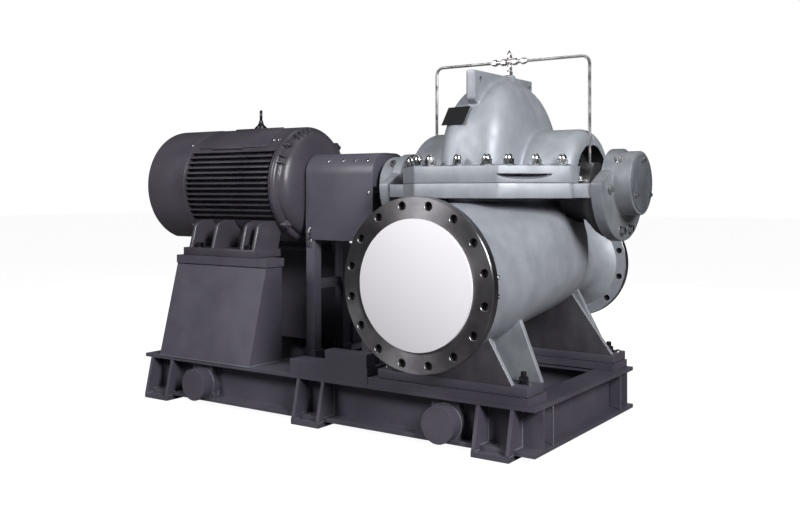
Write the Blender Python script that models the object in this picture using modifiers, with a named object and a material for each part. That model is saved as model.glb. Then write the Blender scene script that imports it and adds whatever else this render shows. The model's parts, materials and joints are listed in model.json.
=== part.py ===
"""Horizontal split-case pump set: double-suction pump, motor, coupling guard and welded base frame.

Units are metres, +Z up. The origin is the middle of the base frame on the floor.
The shaft runs along X at y = 0, with the motor on the -X side. The suction nozzle faces -Y and
the discharge nozzle +Y.
"""
import math

import bmesh
import bpy
from mathutils import Matrix, Vector

# Driving dimensions
GAP = 0.0003                     # left between pieces that touch
SINK = 0.010                     # how deep one shape runs into the next, where both are one solid
PAST = 0.010                     # how far a cutter runs on past the solid that it cuts
OVERLAP = 0.001                  # the least that two shapes of one solid share
SHAFT_Z = 0.940                  # shaft height, also the pump's split plane
PUMP_X = 0.621                   # middle of the pump
NOZZLE_Z = 0.596                 # centre of both nozzles
FACE_Y = 0.6657                  # how far each nozzle flange face is from the shaft

# Base frame
BASE_HALF_X = 0.960
BASE_HALF_Y = 0.455
BEAM_LOW = 0.020
BASE_TOP = 0.188
FLANGE_T = 0.015
WEB_T = 0.012
BEAM_WIDTH = 0.140
CROSS_WIDTH = 0.110
CROSS_BEAMS = {"base_cross_beam_left": -0.300, "base_cross_beam_right": 0.021}
FOOT_SPANS = {"left": (-0.926, -0.786), "middle": (-0.077, 0.060), "right": (0.733, 0.879)}
FOOT_REACH = 0.489
GUSSET_T = 0.014
GUSSET_IN = 0.002                # from the pad's edge to the gusset
GUSSET_TIP = 0.006               # height of the gusset's blunt end on the pad
TRUNNION_X = (-0.626, 0.595)
TRUNNION_Z = 0.0875
TRUNNION_R = 0.067
TRUNNION_REACH = 0.486
DOUBLER_HALF = 0.058
DOUBLER_Y = 0.430

# Pump rails and the stepped supports beside them
RAIL_TOP = 0.216
RAIL_INNER_Y = 0.310
RAIL_X = (0.271, 0.934)
STEP_X = (-0.111, 0.269)
STEP_TOP = 0.247
STEP_INNER_Y = 0.373
STEP_BLOCK_X = (0.067, 0.266)
STEP_BLOCK_TOP = 0.299
STEP_BLOCK_INNER_Y = 0.398

# Motor pedestals
PEDESTAL_X = (-0.868, -0.333)
PEDESTAL_INNER_Y = 0.252
PEDESTAL_TOP_Y = 0.350
PEDESTAL_TOP = 0.590
CAP_TOP = 0.6255
CAP_LIP = 0.007

# Motor
COWL_X = (-1.180, -0.915)
COWL_R = 0.264
COWL_ROUND = 0.018
COWL_FLAT_Z = 0.690              # the cowl is flat underneath
FRAME_X = (-0.915, -0.399)
FRAME_R = 0.262
FIN_COUNT = 12
FIN_LOW_Z = 0.800
FIN_HIGH_Z = 1.078
FIN_T = 0.008
FIN_DEPTH = 0.034
FIN_END_RING = 0.022             # left whole at the drive end of the fins
MOTOR_FOOT_TOP = 0.660
MOTOR_FOOT_Y = (0.180, 0.345)
MOTOR_FOOT_X = (-0.838, -0.403)
MOTOR_WEB_X = (-0.800, -0.700, -0.560, -0.460)
MOTOR_WEB_T = 0.024
# A foot's web from its corner at the foot to its corner under the frame: in from the foot's edge,
# in from the foot's edge higher up, distance from the shaft, height below the shaft
MOTOR_WEB_LOW_IN = 0.012
MOTOR_WEB_HIGH_IN = 0.090
MOTOR_WEB_HIGH_Y = 0.120
MOTOR_WEB_DROP = 0.150
# The drive shield's profile: distance from the frame's end, radius
SHIELD = ((0.000, 0.258), (0.004, 0.262), (0.030, 0.262), (0.032, 0.234), (0.044, 0.231),
          (0.056, 0.220), (0.070, 0.194), (0.080, 0.156), (0.084, 0.120), (0.108, 0.110))
EAR_COUNT = 8
EAR_SIZE = (0.036, 0.036, 0.050)  # along the shaft, round the rim, out from the shaft
EAR_REACH = 0.265
EYE_X = -0.686
EYE_TOP = 1.293
EYE_RING_R = 0.024
EYE_WIRE_R = 0.0075
EYE_COLLAR = (0.020, 0.016, 0.014)  # radius at its foot, radius at its top, height
EYE_STEM_R = 0.010
TERMINAL_BOX = ((-0.770, 0.190, 0.955), (-0.520, 0.395, 1.135))
TERMINAL_ROUND = 0.008
SHIELD_BORE_X = 0.050            # from the shield's seat to the bottom of its bore
STUB_CLEARANCE = 0.001           # from that bottom to the end of the motor's shaft

# Shaft, couplings and guard
SHAFT_R = 0.036
SHAFT_CLEARANCE = 0.001          # left at each end of the pump's shaft
COUPLING_R = 0.105
MOTOR_HALF_X = (-0.225, -0.135)
PUMP_HALF_X = (-0.131, -0.040)
COUPLING_WALL = 0.020            # left whole at the end of the pump half's bore
GUARD_X = (-0.304, 0.057)
GUARD_HALF_Y = 0.129
GUARD_LOW = 0.712
GUARD_TOP = 1.074
GUARD_ROUND = 0.093
GUARD_T = 0.004
LEG_SIZE = 0.046
LEG_X = {"left": -0.281, "right": 0.021}
LEG_FOOT_TOP = 0.219
LEG_RISE = 0.060                 # how far a leg stands up inside the guard
LEG_FOOT_HALF_X = 0.031
LEG_FOOT_OUT = 0.006             # the foot's reach past the leg, away from the shaft
LEG_FOOT_IN = 0.008              # and towards it
BAR_T = 0.012
BAR_Z = (0.483, 0.526)

# Pump casing
SPLIT_LOW = 0.886
SPLIT_HIGH = 1.001
SPLIT_FRONT_Y = 0.412
SPLIT_FRONT_X = 0.175
SPLIT_END_X = 0.360
SPLIT_END_Y = 0.206
DOME_Y = -0.026
DOME_AXES = (0.160, 0.326, 0.398)
# How full the dome's corners are, 2 being an ellipsoid: seen along the shaft, its rear, its front
DOME_FULLNESS = (2.35, 2.3, 4.0)
HUB_R = 0.203
HUB_END_R = 0.162
HUB_END_X = 0.350
HUB_ROUND_X = 0.300
POCKET_R = 0.115
POCKET_X = 0.280
TUBE_SLOT = 0.034
TUBE_SLOT_SIDE = 0.004           # more of the slot on the rear side
TUBE_SLOT_X = (-0.018, 0.060)    # from the tube's middle, towards the pump's middle and away from it
TUBE_SLOT_LOW = 0.080            # above the shaft
RIB_T = 0.040
RIB_TOP = 1.357
RIB_OUTLINE = ((-0.297, RIB_TOP), (-0.297, 1.248), (-0.200, 1.180), (0.100, 1.200), (0.172, 1.300),
               (0.172, RIB_TOP))
RIB_HOLE_R = 0.011
RIB_HOLES_Y = (-0.252, 0.148)
RIB_HOLE_Z = 1.325
SUCTION_R = 0.2985
SUCTION_T = 0.034
SUCTION_HOLES = (16, 0.270, 0.0143)
DISCHARGE_R = 0.2415
DISCHARGE_T = 0.030
DISCHARGE_HOLES = (12, 0.216, 0.0127)
COVER_Y = 0.675                  # the outer face of each nozzle's cover
REGISTER = 0.001                 # depth of the seat that each cover lies in
HOLE_DEEPER = 0.002              # how far a bolt hole runs on behind its flange
SUCTION_COVER_R = 0.2235
DISCHARGE_COVER_R = 0.190
# Each station of the lower casing: y, half width, half height, centre height, fullness of its top
BODY = (
    (-0.640, 0.238, 0.238, 0.596, 2.0),
    (-0.520, 0.250, 0.248, 0.600, 2.0),
    (-0.380, 0.278, 0.256, 0.614, 2.2),
    (-0.200, 0.312, 0.243, 0.636, 2.6),
    (-0.040, 0.323, 0.231, 0.650, 2.9),
    (0.060, 0.310, 0.222, 0.655, 2.9),
    (0.130, 0.262, 0.205, 0.650, 2.6),
    (0.200, 0.192, 0.184, 0.632, 2.2),
    (0.320, 0.146, 0.158, 0.606, 2.0),
    (0.520, 0.142, 0.144, 0.596, 2.0),
    (0.590, 0.158, 0.158, 0.596, 2.0),
    (0.645, 0.206, 0.206, 0.596, 2.0),
)
LOWER_VOLUTE = (0.225, 0.260, 0.400)

# Pump feet
FOOT_PAD_X = 0.309
FOOT_PAD_TOP = 0.252
FOOT_Y = (0.321, 0.449)
FOOT_RIB_T = 0.022
# Leaning edge of each foot rib, from the pump's middle: top x, top z, bottom x
OUTER_RIBS = {-1: (0.151, 0.418, 0.249), 1: (0.102, 0.500, 0.232)}
INNER_RIBS = {-1: (0.214, 0.490, 0.308), 1: (0.101, 0.520, 0.298)}
MIDDLE_WEB = (0.100, 0.440, 0.170)

# Bearing brackets
BRACKET_X = (0.432, 0.473)
BRACKET_R = 0.211
BRACKET_TOP_R = 0.120
HOUSING_R = 0.116
HOUSING_END_X = 0.540
COVER_END_X = 0.553
COVER_R = 0.104
GLAND_R = 0.078
GLAND_END_X = 0.372

# Flush line
CROSS_Z = 1.419
CROSS_TOP = 1.466
CREST_Z = 1.367
CREST_Y = 0.010
BOSS_LOW = 1.300
BOSS_R = 0.024
CROSS_STEM_R = 0.011
CROSS_ARM_R = 0.0115
CROSS_ARM_X = 0.051
CROSS_BALL = (0.018, 0.016, 0.018)
TUBE_CLEARANCE = 0.001           # from the cross to a tube
TUBE_END_RISE = 0.002            # from the gland to a tube's end
FLUSH_X = 0.336
TUBE_R = 0.006
BEND_R = 0.030

# Nameplate on the dome, at a direction from the dome's centre
PLATE_SIZE = (0.112, 0.078, 0.002)
PLATE_TURN = 25.0
PLATE_LIFT = 34.5
DOME_SAG = 0.0007                # the dome's flat facets lie this far inside its curve under the plate

ROUND = 40                       # sides of a large round piece

PALETTE = {
    "frame_paint": ((0.078, 0.072, 0.092), 0.45, 0.0),
    "motor_paint": ((0.085, 0.080, 0.098), 0.40, 0.0),
    "guard_paint": ((0.098, 0.098, 0.120), 0.42, 0.0),
    "casing_paint": ((0.400, 0.415, 0.440), 0.38, 0.3),
    "bracket_paint": ((0.210, 0.225, 0.255), 0.40, 0.2),
    "machined_steel": ((0.480, 0.480, 0.500), 0.28, 1.0),
    "stainless": ((0.560, 0.550, 0.530), 0.22, 1.0),
    "white_cover": ((0.800, 0.790, 0.810), 0.50, 0.0),
    "black_plate": ((0.012, 0.010, 0.012), 0.30, 0.0),
}


def clear_scene():
    for item in list(bpy.data.objects):
        bpy.data.objects.remove(item, do_unlink=True)


def make_collection(name):
    group = bpy.data.collections.new(name)
    bpy.context.scene.collection.children.link(group)
    return group


clear_scene()
PARTS = make_collection("split_case_pump_set")
CUTTERS = make_collection("cutters")


def finish_material(piece, slot):
    """Give a piece a material of its own with the colour and finish of its slot."""
    colour, roughness, metallic = PALETTE[slot]
    material = bpy.data.materials.new(piece + "_" + slot)
    material.use_nodes = True
    shader = material.node_tree.nodes["Principled BSDF"]
    shader.inputs["Base Color"].default_value = (*colour, 1.0)
    shader.inputs["Roughness"].default_value = roughness
    shader.inputs["Metallic"].default_value = metallic
    return material


def add_part(name, mesh, slot):
    part = bpy.data.objects.new(name, mesh)
    mesh.materials.clear()
    mesh.materials.append(finish_material(name, slot))
    mesh.shade_smooth()
    mesh.set_sharp_from_angle(angle=math.radians(32))
    PARTS.objects.link(part)
    return part


def add_cutter(mesh):
    cutter = bpy.data.objects.new("cutter", mesh)
    cutter.hide_render = True
    cutter.display_type = "WIRE"
    CUTTERS.objects.link(cutter)
    return cutter


def boolean(part, meshes, operation):
    for mesh in meshes:
        step = part.modifiers.new(operation.lower(), "BOOLEAN")
        step.operation = operation
        step.solver = "EXACT"
        step.object = add_cutter(mesh)
    return part


def fuse(part, *meshes):
    return boolean(part, meshes, "UNION")


def cut(part, *meshes):
    return boolean(part, meshes, "DIFFERENCE")


def mesh_from(shape):
    mesh = bpy.data.meshes.new("shape")
    shape.to_mesh(mesh)
    shape.free()
    return mesh


def boxes(corners):
    """Blocks, each between two corners, all in one mesh."""
    shape = bmesh.new()
    for first, last in corners:
        low, high = Vector(map(min, first, last)), Vector(map(max, first, last))
        place = Matrix.Translation((low + high) / 2) @ Matrix.Diagonal((*(high - low), 1.0))
        bmesh.ops.create_cube(shape, size=1.0, matrix=place)
    return mesh_from(shape)


def box(first, last):
    return boxes([(first, last)])


def along(axis):
    """A turn that lays +Z along the given axis."""
    return Vector((0, 0, 1)).rotation_difference(Vector(axis)).to_matrix().to_4x4()


def rods(pairs, radius, sides=ROUND, end_radius=None):
    """Round bars, each between two points, all in one mesh."""
    shape = bmesh.new()
    for start, end in pairs:
        start, end = Vector(start), Vector(end)
        place = Matrix.Translation((start + end) / 2) @ along(end - start)
        bmesh.ops.create_cone(
            shape, cap_ends=True, segments=sides, radius1=radius,
            radius2=radius if end_radius is None else end_radius,
            depth=(end - start).length, matrix=place)
    return mesh_from(shape)


def rod(start, end, radius, sides=ROUND, end_radius=None):
    return rods([(start, end)], radius, sides, end_radius)


def ball(centre, axes, around=40, rings=20):
    shape = bmesh.new()
    place = Matrix.Translation(centre) @ Matrix.Diagonal((*axes, 1.0))
    bmesh.ops.create_uvsphere(shape, u_segments=around, v_segments=rings, radius=1.0, matrix=place)
    return mesh_from(shape)


def swell(direction, fullness):
    """How far a ball of radius 1 with full corners reaches in a direction."""
    x, y, z = map(abs, direction)
    profile, rear, front = fullness
    power = rear + (front - rear) * max(0.0, -direction[1])
    section = (y ** profile + z ** profile) ** (power / profile)
    return (section + x ** power) ** (-1 / power)


def full_ball(centre, axes, fullness):
    """A ball with fuller corners than an ellipsoid's."""
    mesh = ball((0, 0, 0), (1, 1, 1), 48, 24)
    for vertex in mesh.vertices:
        reach = swell(vertex.co, fullness)
        vertex.co = [c + a * u * reach for c, a, u in zip(centre, axes, vertex.co)]
    return mesh


def to_mesh(curve, matrix):
    """Turn a curve into a closed mesh at its place, and remove the curve."""
    guide = bpy.data.objects.new("guide", curve)
    bpy.context.scene.collection.objects.link(guide)
    bpy.context.view_layer.update()
    seen = guide.evaluated_get(bpy.context.evaluated_depsgraph_get())
    mesh = bpy.data.meshes.new_from_object(seen)
    bpy.data.objects.remove(guide, do_unlink=True)
    shape = bmesh.new()
    shape.from_mesh(mesh)
    bmesh.ops.remove_doubles(shape, verts=shape.verts, dist=0.00001)
    bmesh.ops.transform(shape, matrix=matrix, verts=shape.verts)
    bmesh.ops.recalc_face_normals(shape, faces=shape.faces)
    shape.to_mesh(mesh)
    shape.free()
    return mesh


PLANES = {
    "X": Matrix(((0, 0, 1, 0), (1, 0, 0, 0), (0, 1, 0, 0), (0, 0, 0, 1))),
    "Y": Matrix(((1, 0, 0, 0), (0, 0, -1, 0), (0, 1, 0, 0), (0, 0, 0, 1))),
    "Z": Matrix.Identity(4),
}


def slab(points, axis, start, end):
    """A flat outline made thick from start to end along an axis.

    Points are (y, z) for X, (x, z) for Y and (x, y) for Z.
    """
    curve = bpy.data.curves.new("outline", "CURVE")
    curve.dimensions = "2D"
    curve.fill_mode = "BOTH"
    curve.extrude = abs(end - start) / 2
    spline = curve.splines.new("POLY")
    spline.points.add(len(points) - 1)
    for point, (across, up) in zip(spline.points, points):
        point.co = (across, up, 0.0, 1.0)
    spline.use_cyclic_u = True
    shift = Vector((0, 0, 0))
    shift["XYZ".index(axis)] = (start + end) / 2
    return to_mesh(curve, Matrix.Translation(shift) @ PLANES[axis])


def tube(points, radius):
    """A round tube through the given points."""
    curve = bpy.data.curves.new("route", "CURVE")
    curve.dimensions = "3D"
    curve.bevel_depth = radius
    curve.bevel_resolution = 3
    curve.use_fill_caps = True
    spline = curve.splines.new("POLY")
    spline.points.add(len(points) - 1)
    for point, place in zip(spline.points, points):
        point.co = (*place, 1.0)
    return to_mesh(curve, Matrix.Identity(4))


def arc(centre, radius, first, last, steps):
    """Points round an arc, angles in degrees."""
    turn = [math.radians(first + (last - first) * i / steps) for i in range(steps + 1)]
    return [(centre[0] + radius * math.cos(a), centre[1] + radius * math.sin(a)) for a in turn]


def turned(profile, start_x, centre_y=0.0, centre_z=SHAFT_Z):
    """A piece turned about an axis along X. The profile is (distance along X, radius)."""
    mesh = bpy.data.meshes.new("profile")
    mesh.from_pydata([(radius, 0, -x) for x, radius in profile],
                     [(i, i + 1) for i in range(len(profile) - 1)], [])
    guide = bpy.data.objects.new("guide", mesh)
    bpy.context.scene.collection.objects.link(guide)
    screw = guide.modifiers.new("turn", "SCREW")
    screw.axis = "Z"
    screw.steps = ROUND
    screw.render_steps = ROUND
    screw.use_merge_vertices = True
    screw.merge_threshold = 0.00001
    bpy.context.view_layer.update()
    seen = guide.evaluated_get(bpy.context.evaluated_depsgraph_get())
    result = bpy.data.meshes.new_from_object(seen)
    bpy.data.objects.remove(guide, do_unlink=True)
    shape = bmesh.new()
    shape.from_mesh(result)
    bmesh.ops.remove_doubles(shape, verts=shape.verts, dist=0.00001)
    place = Matrix.Translation((start_x, centre_y, centre_z)) @ Matrix.Rotation(-math.pi / 2, 4, "Y")
    bmesh.ops.transform(shape, matrix=place, verts=shape.verts)
    bmesh.ops.recalc_face_normals(shape, faces=shape.faces)
    shape.to_mesh(result)
    shape.free()
    return result


def blend(stations, share):
    """A smooth value between two of four neighbouring stations."""
    before, first, last, after = stations
    return 0.5 * (2 * first + (last - before) * share
                  + (2 * before - 5 * first + 4 * last - after) * share ** 2
                  + (3 * first - before - 3 * last + after) * share ** 3)


def body_stations(steps=2):
    """The casing's stations, with smooth ones added between those given."""
    result = []
    last = len(BODY) - 1
    for i in range(last):
        four = [BODY[max(i - 1, 0)], BODY[i], BODY[i + 1], BODY[min(i + 2, last)]]
        for k in range(steps):
            result.append([blend([s[n] for s in four], k / steps) for n in range(5)])
    result.append(list(BODY[last]))
    return result


def loft_body():
    """The lower casing's barrel: ellipses of changing size, joined along Y."""
    shape = bmesh.new()
    rings = []
    for y, half_x, half_z, centre_z, fullness in body_stations():
        ring = []
        for i in range(ROUND):
            turn = 2 * math.pi * i / ROUND
            x, z = math.cos(turn), math.sin(turn)
            power = 2 / fullness if z > 0 else 1.0
            ring.append(shape.verts.new((PUMP_X + half_x * math.copysign(abs(x) ** power, x), y,
                                         centre_z + half_z * math.copysign(abs(z) ** power, z))))
        rings.append(ring)
    for ring, after in zip(rings, rings[1:]):
        for i in range(ROUND):
            k = (i + 1) % ROUND
            shape.faces.new((ring[i], ring[k], after[k], after[i]))
    shape.faces.new(rings[0])
    shape.faces.new(list(reversed(rings[-1])))
    bmesh.ops.recalc_face_normals(shape, faces=shape.faces)
    return mesh_from(shape)


def bolt_circle(count, pitch, radius, y_start, y_end, sides=16):
    """Round cutters on a circle about a nozzle's centre, straddling the vertical."""
    pairs = []
    for i in range(count):
        turn = 2 * math.pi * (i + 0.5) / count
        x = PUMP_X + pitch * math.sin(turn)
        z = NOZZLE_Z + pitch * math.cos(turn)
        pairs.append(((x, y_start, z), (x, y_end, z)))
    return rods(pairs, radius, sides)


def add_beam(name, axis, middle, reach, width):
    """A rolled I-beam: a bar with a long recess cut in each side of its web."""
    def corner(length, across, up):
        return (length, middle + across, up) if axis == "X" else (middle + across, length, up)

    beam = add_part(name, box(corner(-reach, -width / 2, BEAM_LOW), corner(reach, width / 2, BASE_TOP)),
                    "frame_paint")
    cut(beam, boxes([(corner(-reach - PAST, side * WEB_T / 2, BEAM_LOW + FLANGE_T),
                      corner(reach + PAST, side * (width / 2 + PAST), BASE_TOP - FLANGE_T))
                     for side in (-1, 1)]))
    return beam


def build_base():
    middle_y = BASE_HALF_Y - BEAM_WIDTH / 2
    for name, sign in (("front", -1), ("rear", 1)):
        beam = add_beam(f"base_{name}_beam", "X", sign * middle_y, BASE_HALF_X, BEAM_WIDTH)
        for x in TRUNNION_X:
            web_y = sign * (middle_y - OVERLAP)
            fuse(beam,
                 box((x - DOUBLER_HALF, sign * DOUBLER_Y, BEAM_LOW + FLANGE_T / 2),
                     (x + DOUBLER_HALF, web_y, BASE_TOP - FLANGE_T / 2)),
                 rod((x, web_y, TRUNNION_Z), (x, sign * TRUNNION_REACH, TRUNNION_Z), TRUNNION_R, 28))
        for place, span in FOOT_SPANS.items():
            build_base_foot(f"base_foot_{name}_{place}", span, sign)
    inner_y = BASE_HALF_Y - BEAM_WIDTH - GAP
    ends = {"base_end_beam_left": -BASE_HALF_X + CROSS_WIDTH / 2,
            "base_end_beam_right": BASE_HALF_X - CROSS_WIDTH / 2}
    for name, x in {**ends, **CROSS_BEAMS}.items():
        add_beam(name, "Y", x, inner_y, CROSS_WIDTH)


def build_base_foot(name, span, sign):
    """A pad under a side beam, with two gussets that stand up its open side."""
    low_x, high_x = span
    edge = BASE_HALF_Y + GAP
    web = BASE_HALF_Y - BEAM_WIDTH / 2 + WEB_T / 2 + GAP
    pad_top = BEAM_LOW - GAP
    outline = [(FOOT_REACH, pad_top / 2), (FOOT_REACH, pad_top + GUSSET_TIP),
               (BASE_HALF_Y, BASE_TOP - FLANGE_T - GAP), (web, BASE_TOP - FLANGE_T - GAP),
               (web, BEAM_LOW + FLANGE_T + GAP), (edge, BEAM_LOW + FLANGE_T + GAP),
               (edge, pad_top / 2)]
    outline = [(sign * y, z) for y, z in outline]
    foot = add_part(name, box((low_x, sign * FOOT_REACH, 0),
                              (high_x, sign * (BASE_HALF_Y - BEAM_WIDTH), pad_top)), "frame_paint")
    for x in (low_x, high_x - GUSSET_T):
        fuse(foot, slab(outline, "X", x + GUSSET_IN, x + GUSSET_T + GUSSET_IN))


def build_supports():
    """Pump rails, the stepped supports beside them and the motor pedestals, front and rear."""
    for name, sign in (("front", -1), ("rear", 1)):
        edge = sign * BASE_HALF_Y
        low = BASE_TOP + GAP
        add_part(f"pump_rail_{name}",
                 box((RAIL_X[0], edge, low), (RAIL_X[1], sign * RAIL_INNER_Y, RAIL_TOP)),
                 "frame_paint")
        step = add_part(f"step_support_{name}",
                        box((STEP_X[0], edge, low), (STEP_X[1], sign * STEP_INNER_Y, STEP_TOP)),
                        "frame_paint")
        fuse(step, box((STEP_BLOCK_X[0], edge, STEP_TOP - OVERLAP),
                       (STEP_BLOCK_X[1], sign * STEP_BLOCK_INNER_Y, STEP_BLOCK_TOP)))
        outline = [(edge, low), (sign * PEDESTAL_INNER_Y, low),
                   (sign * PEDESTAL_INNER_Y, PEDESTAL_TOP + OVERLAP),
                   (sign * PEDESTAL_TOP_Y, PEDESTAL_TOP + OVERLAP)]
        pedestal = add_part(f"motor_pedestal_{name}",
                            slab(outline, "X", PEDESTAL_X[0], PEDESTAL_X[1]), "frame_paint")
        fuse(pedestal, box((PEDESTAL_X[0], sign * (PEDESTAL_TOP_Y + CAP_LIP), PEDESTAL_TOP),
                           (PEDESTAL_X[1] + CAP_LIP, sign * (PEDESTAL_INNER_Y - CAP_LIP), CAP_TOP)))


def fin_slots():
    """The spaces between the level fins on both sides of the motor."""
    pitch = (FIN_HIGH_Z - FIN_LOW_Z - FIN_T) / (FIN_COUNT - 1)
    slots = []
    for i in range(FIN_COUNT - 1):
        low = FIN_LOW_Z + i * pitch + FIN_T
        high = low + pitch - FIN_T
        root = math.sqrt(FRAME_R ** 2 - ((low + high) / 2 - SHAFT_Z) ** 2) - FIN_DEPTH
        for sign in (-1, 1):
            slots.append(((FRAME_X[0] - PAST, sign * root, low),
                          (FRAME_X[1] - FIN_END_RING, sign * (FRAME_R + PAST), high)))
    return boxes(slots)


def build_motor():
    frame = add_part("motor_frame", rod((FRAME_X[0] + GAP, 0, SHAFT_Z), (FRAME_X[1] - GAP, 0, SHAFT_Z),
                                        FRAME_R, 56), "motor_paint")
    cut(frame, fin_slots())
    low = CAP_TOP + GAP
    inner, outer = MOTOR_FOOT_Y
    for sign in (-1, 1):
        fuse(frame, box((MOTOR_FOOT_X[0], sign * inner, low),
                        (MOTOR_FOOT_X[1], sign * outer, MOTOR_FOOT_TOP)))
        web = [(sign * inner, low + SINK), (sign * (outer - MOTOR_WEB_LOW_IN), low + SINK),
               (sign * (outer - MOTOR_WEB_HIGH_IN), SHAFT_Z - MOTOR_WEB_DROP),
               (sign * MOTOR_WEB_HIGH_Y, SHAFT_Z - MOTOR_WEB_DROP)]
        for x in MOTOR_WEB_X:
            fuse(frame, slab(web, "X", x - MOTOR_WEB_T / 2, x + MOTOR_WEB_T / 2))
    rounding = [(COWL_ROUND - x, COWL_R - COWL_ROUND + y) for x, y in arc((0, 0), COWL_ROUND, 0, 90, 5)]
    length = COWL_X[1] - COWL_X[0] - GAP
    profile = [(0.0, 0.0), *rounding, (length, COWL_R), (length, 0.0)]
    cowl = add_part("motor_fan_cowl", turned(profile, COWL_X[0]), "motor_paint")
    cut(cowl, box((COWL_X[0] - PAST, -COWL_R, SHAFT_Z - 2 * COWL_R), (COWL_X[1] + PAST, COWL_R, COWL_FLAT_Z)))
    build_drive_shield()
    build_eye_bolt()
    low_corner, high_corner = TERMINAL_BOX
    terminal = add_part("motor_terminal_box", box(low_corner, high_corner), "motor_paint")
    softened = terminal.modifiers.new("edges", "BEVEL")
    softened.width = TERMINAL_ROUND
    softened.segments = 2
    cut(terminal, rod((FRAME_X[0], 0, SHAFT_Z), (FRAME_X[1], 0, SHAFT_Z), FRAME_R + GAP, 56))


def build_drive_shield():
    """The shield at the motor's drive end, with bolt ears round its rim."""
    profile = [(0.0, 0.0), *SHIELD, (SHIELD[-1][0], 0.0)]
    shield = add_part("motor_drive_shield", turned(profile, FRAME_X[1]), "motor_paint")
    length, width, height = EAR_SIZE
    for i in range(EAR_COUNT):
        ear = box((FRAME_X[1], -width / 2, EAR_REACH - height), (FRAME_X[1] + length, width / 2, EAR_REACH))
        turn = Matrix.Rotation(2 * math.pi * i / EAR_COUNT, 4, "X")
        ear.transform(Matrix.Translation((0, 0, SHAFT_Z)) @ turn)
        fuse(shield, ear)
    cut(shield, rod((FRAME_X[1] + SHIELD_BORE_X, 0, SHAFT_Z),
                    (FRAME_X[1] + SHIELD[-1][0] + PAST, 0, SHAFT_Z), SHAFT_R + GAP, 24))


def build_eye_bolt():
    base_z = SHAFT_Z + FRAME_R + GAP
    ring_z = EYE_TOP - EYE_RING_R - EYE_WIRE_R
    foot_r, top_r, height = EYE_COLLAR
    eye = add_part("motor_eye_bolt", rod((EYE_X, 0, base_z), (EYE_X, 0, base_z + height), foot_r, 20, top_r),
                   "motor_paint")
    curve = bpy.data.curves.new("ring", "CURVE")
    curve.dimensions = "3D"
    curve.bevel_depth = EYE_WIRE_R
    curve.bevel_resolution = 2
    spline = curve.splines.new("POLY")
    loop = arc((EYE_X, ring_z), EYE_RING_R, 0, 360, 24)[:-1]
    spline.points.add(len(loop) - 1)
    for point, (x, z) in zip(spline.points, loop):
        point.co = (x, 0, z, 1)
    spline.use_cyclic_u = True
    fuse(eye, rod((EYE_X, 0, base_z + SINK), (EYE_X, 0, ring_z - EYE_RING_R), EYE_STEM_R, 16),
         to_mesh(curve, Matrix.Identity(4)))


def guard_outline(shrink):
    half = GUARD_HALF_Y - shrink
    top = GUARD_TOP - shrink
    radius = GUARD_ROUND - shrink
    low = GUARD_LOW - PAST * bool(shrink)
    right = arc((half - radius, top - radius), radius, 0, 90, 8)
    return [(half, low)] + right + [(-y, z) for y, z in reversed(right)] + [(-half, low)]


def build_drive():
    """Couplings, guard and its stand."""
    motor_half = add_part("coupling_half_motor",
                          rod((MOTOR_HALF_X[0], 0, SHAFT_Z), (MOTOR_HALF_X[1], 0, SHAFT_Z),
                              COUPLING_R), "machined_steel")
    stub_x = FRAME_X[1] + SHIELD_BORE_X + STUB_CLEARANCE
    fuse(motor_half, rod((stub_x, 0, SHAFT_Z), (MOTOR_HALF_X[0] + SINK, 0, SHAFT_Z), SHAFT_R, 24))
    pump_half = add_part("coupling_half_pump",
                         rod((PUMP_HALF_X[0], 0, SHAFT_Z), (PUMP_HALF_X[1], 0, SHAFT_Z),
                             COUPLING_R), "machined_steel")
    cut(pump_half, rod((PUMP_HALF_X[0] + COUPLING_WALL, 0, SHAFT_Z), (PUMP_HALF_X[1] + PAST, 0, SHAFT_Z),
                       SHAFT_R + GAP, 24))
    guard = add_part("coupling_guard", slab(guard_outline(0.0), "X", *GUARD_X), "guard_paint")
    cut(guard, slab(guard_outline(GUARD_T), "X", GUARD_X[0] - PAST, GUARD_X[1] + PAST))
    inner = GUARD_HALF_Y - GUARD_T - GAP
    for side, sign in (("front", -1), ("rear", 1)):
        for place, x in LEG_X.items():
            leg = add_part(f"guard_leg_{side}_{place}",
                           box((x - LEG_SIZE / 2, sign * inner, BASE_TOP + GAP),
                               (x + LEG_SIZE / 2, sign * (inner - LEG_SIZE), GUARD_LOW + LEG_RISE)),
                           "guard_paint")
            fuse(leg, box((x - LEG_FOOT_HALF_X, sign * (inner + LEG_FOOT_OUT), BASE_TOP + GAP),
                          (x + LEG_FOOT_HALF_X, sign * (inner - LEG_SIZE - LEG_FOOT_IN), LEG_FOOT_TOP)))
    for place, x in LEG_X.items():
        reach = inner - LEG_SIZE - GAP
        add_part(f"guard_cross_bar_{place}",
                 box((x - BAR_T / 2, -reach, BAR_Z[0]), (x + BAR_T / 2, reach, BAR_Z[1])), "guard_paint")


def split_outline():
    """The split flange seen from above: a long eight-sided plate."""
    corners = [(SPLIT_END_X, -SPLIT_END_Y), (SPLIT_END_X, SPLIT_END_Y),
               (SPLIT_FRONT_X, SPLIT_FRONT_Y), (-SPLIT_FRONT_X, SPLIT_FRONT_Y),
               (-SPLIT_END_X, SPLIT_END_Y), (-SPLIT_END_X, -SPLIT_END_Y),
               (-SPLIT_FRONT_X, -SPLIT_FRONT_Y), (SPLIT_FRONT_X, -SPLIT_FRONT_Y)]
    return [(PUMP_X + x, y) for x, y in corners]


def shaft_bore(radius):
    reach = COVER_END_X + 0.05
    return rod((PUMP_X - reach, 0, SHAFT_Z), (PUMP_X + reach, 0, SHAFT_Z), radius, 24)


def pockets(depth_end):
    """Cutters that open the two gland pockets."""
    pairs = [((PUMP_X + s * POCKET_X, 0, SHAFT_Z), (PUMP_X + s * depth_end, 0, SHAFT_Z)) for s in (-1, 1)]
    return rods(pairs, POCKET_R, 38)


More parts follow.
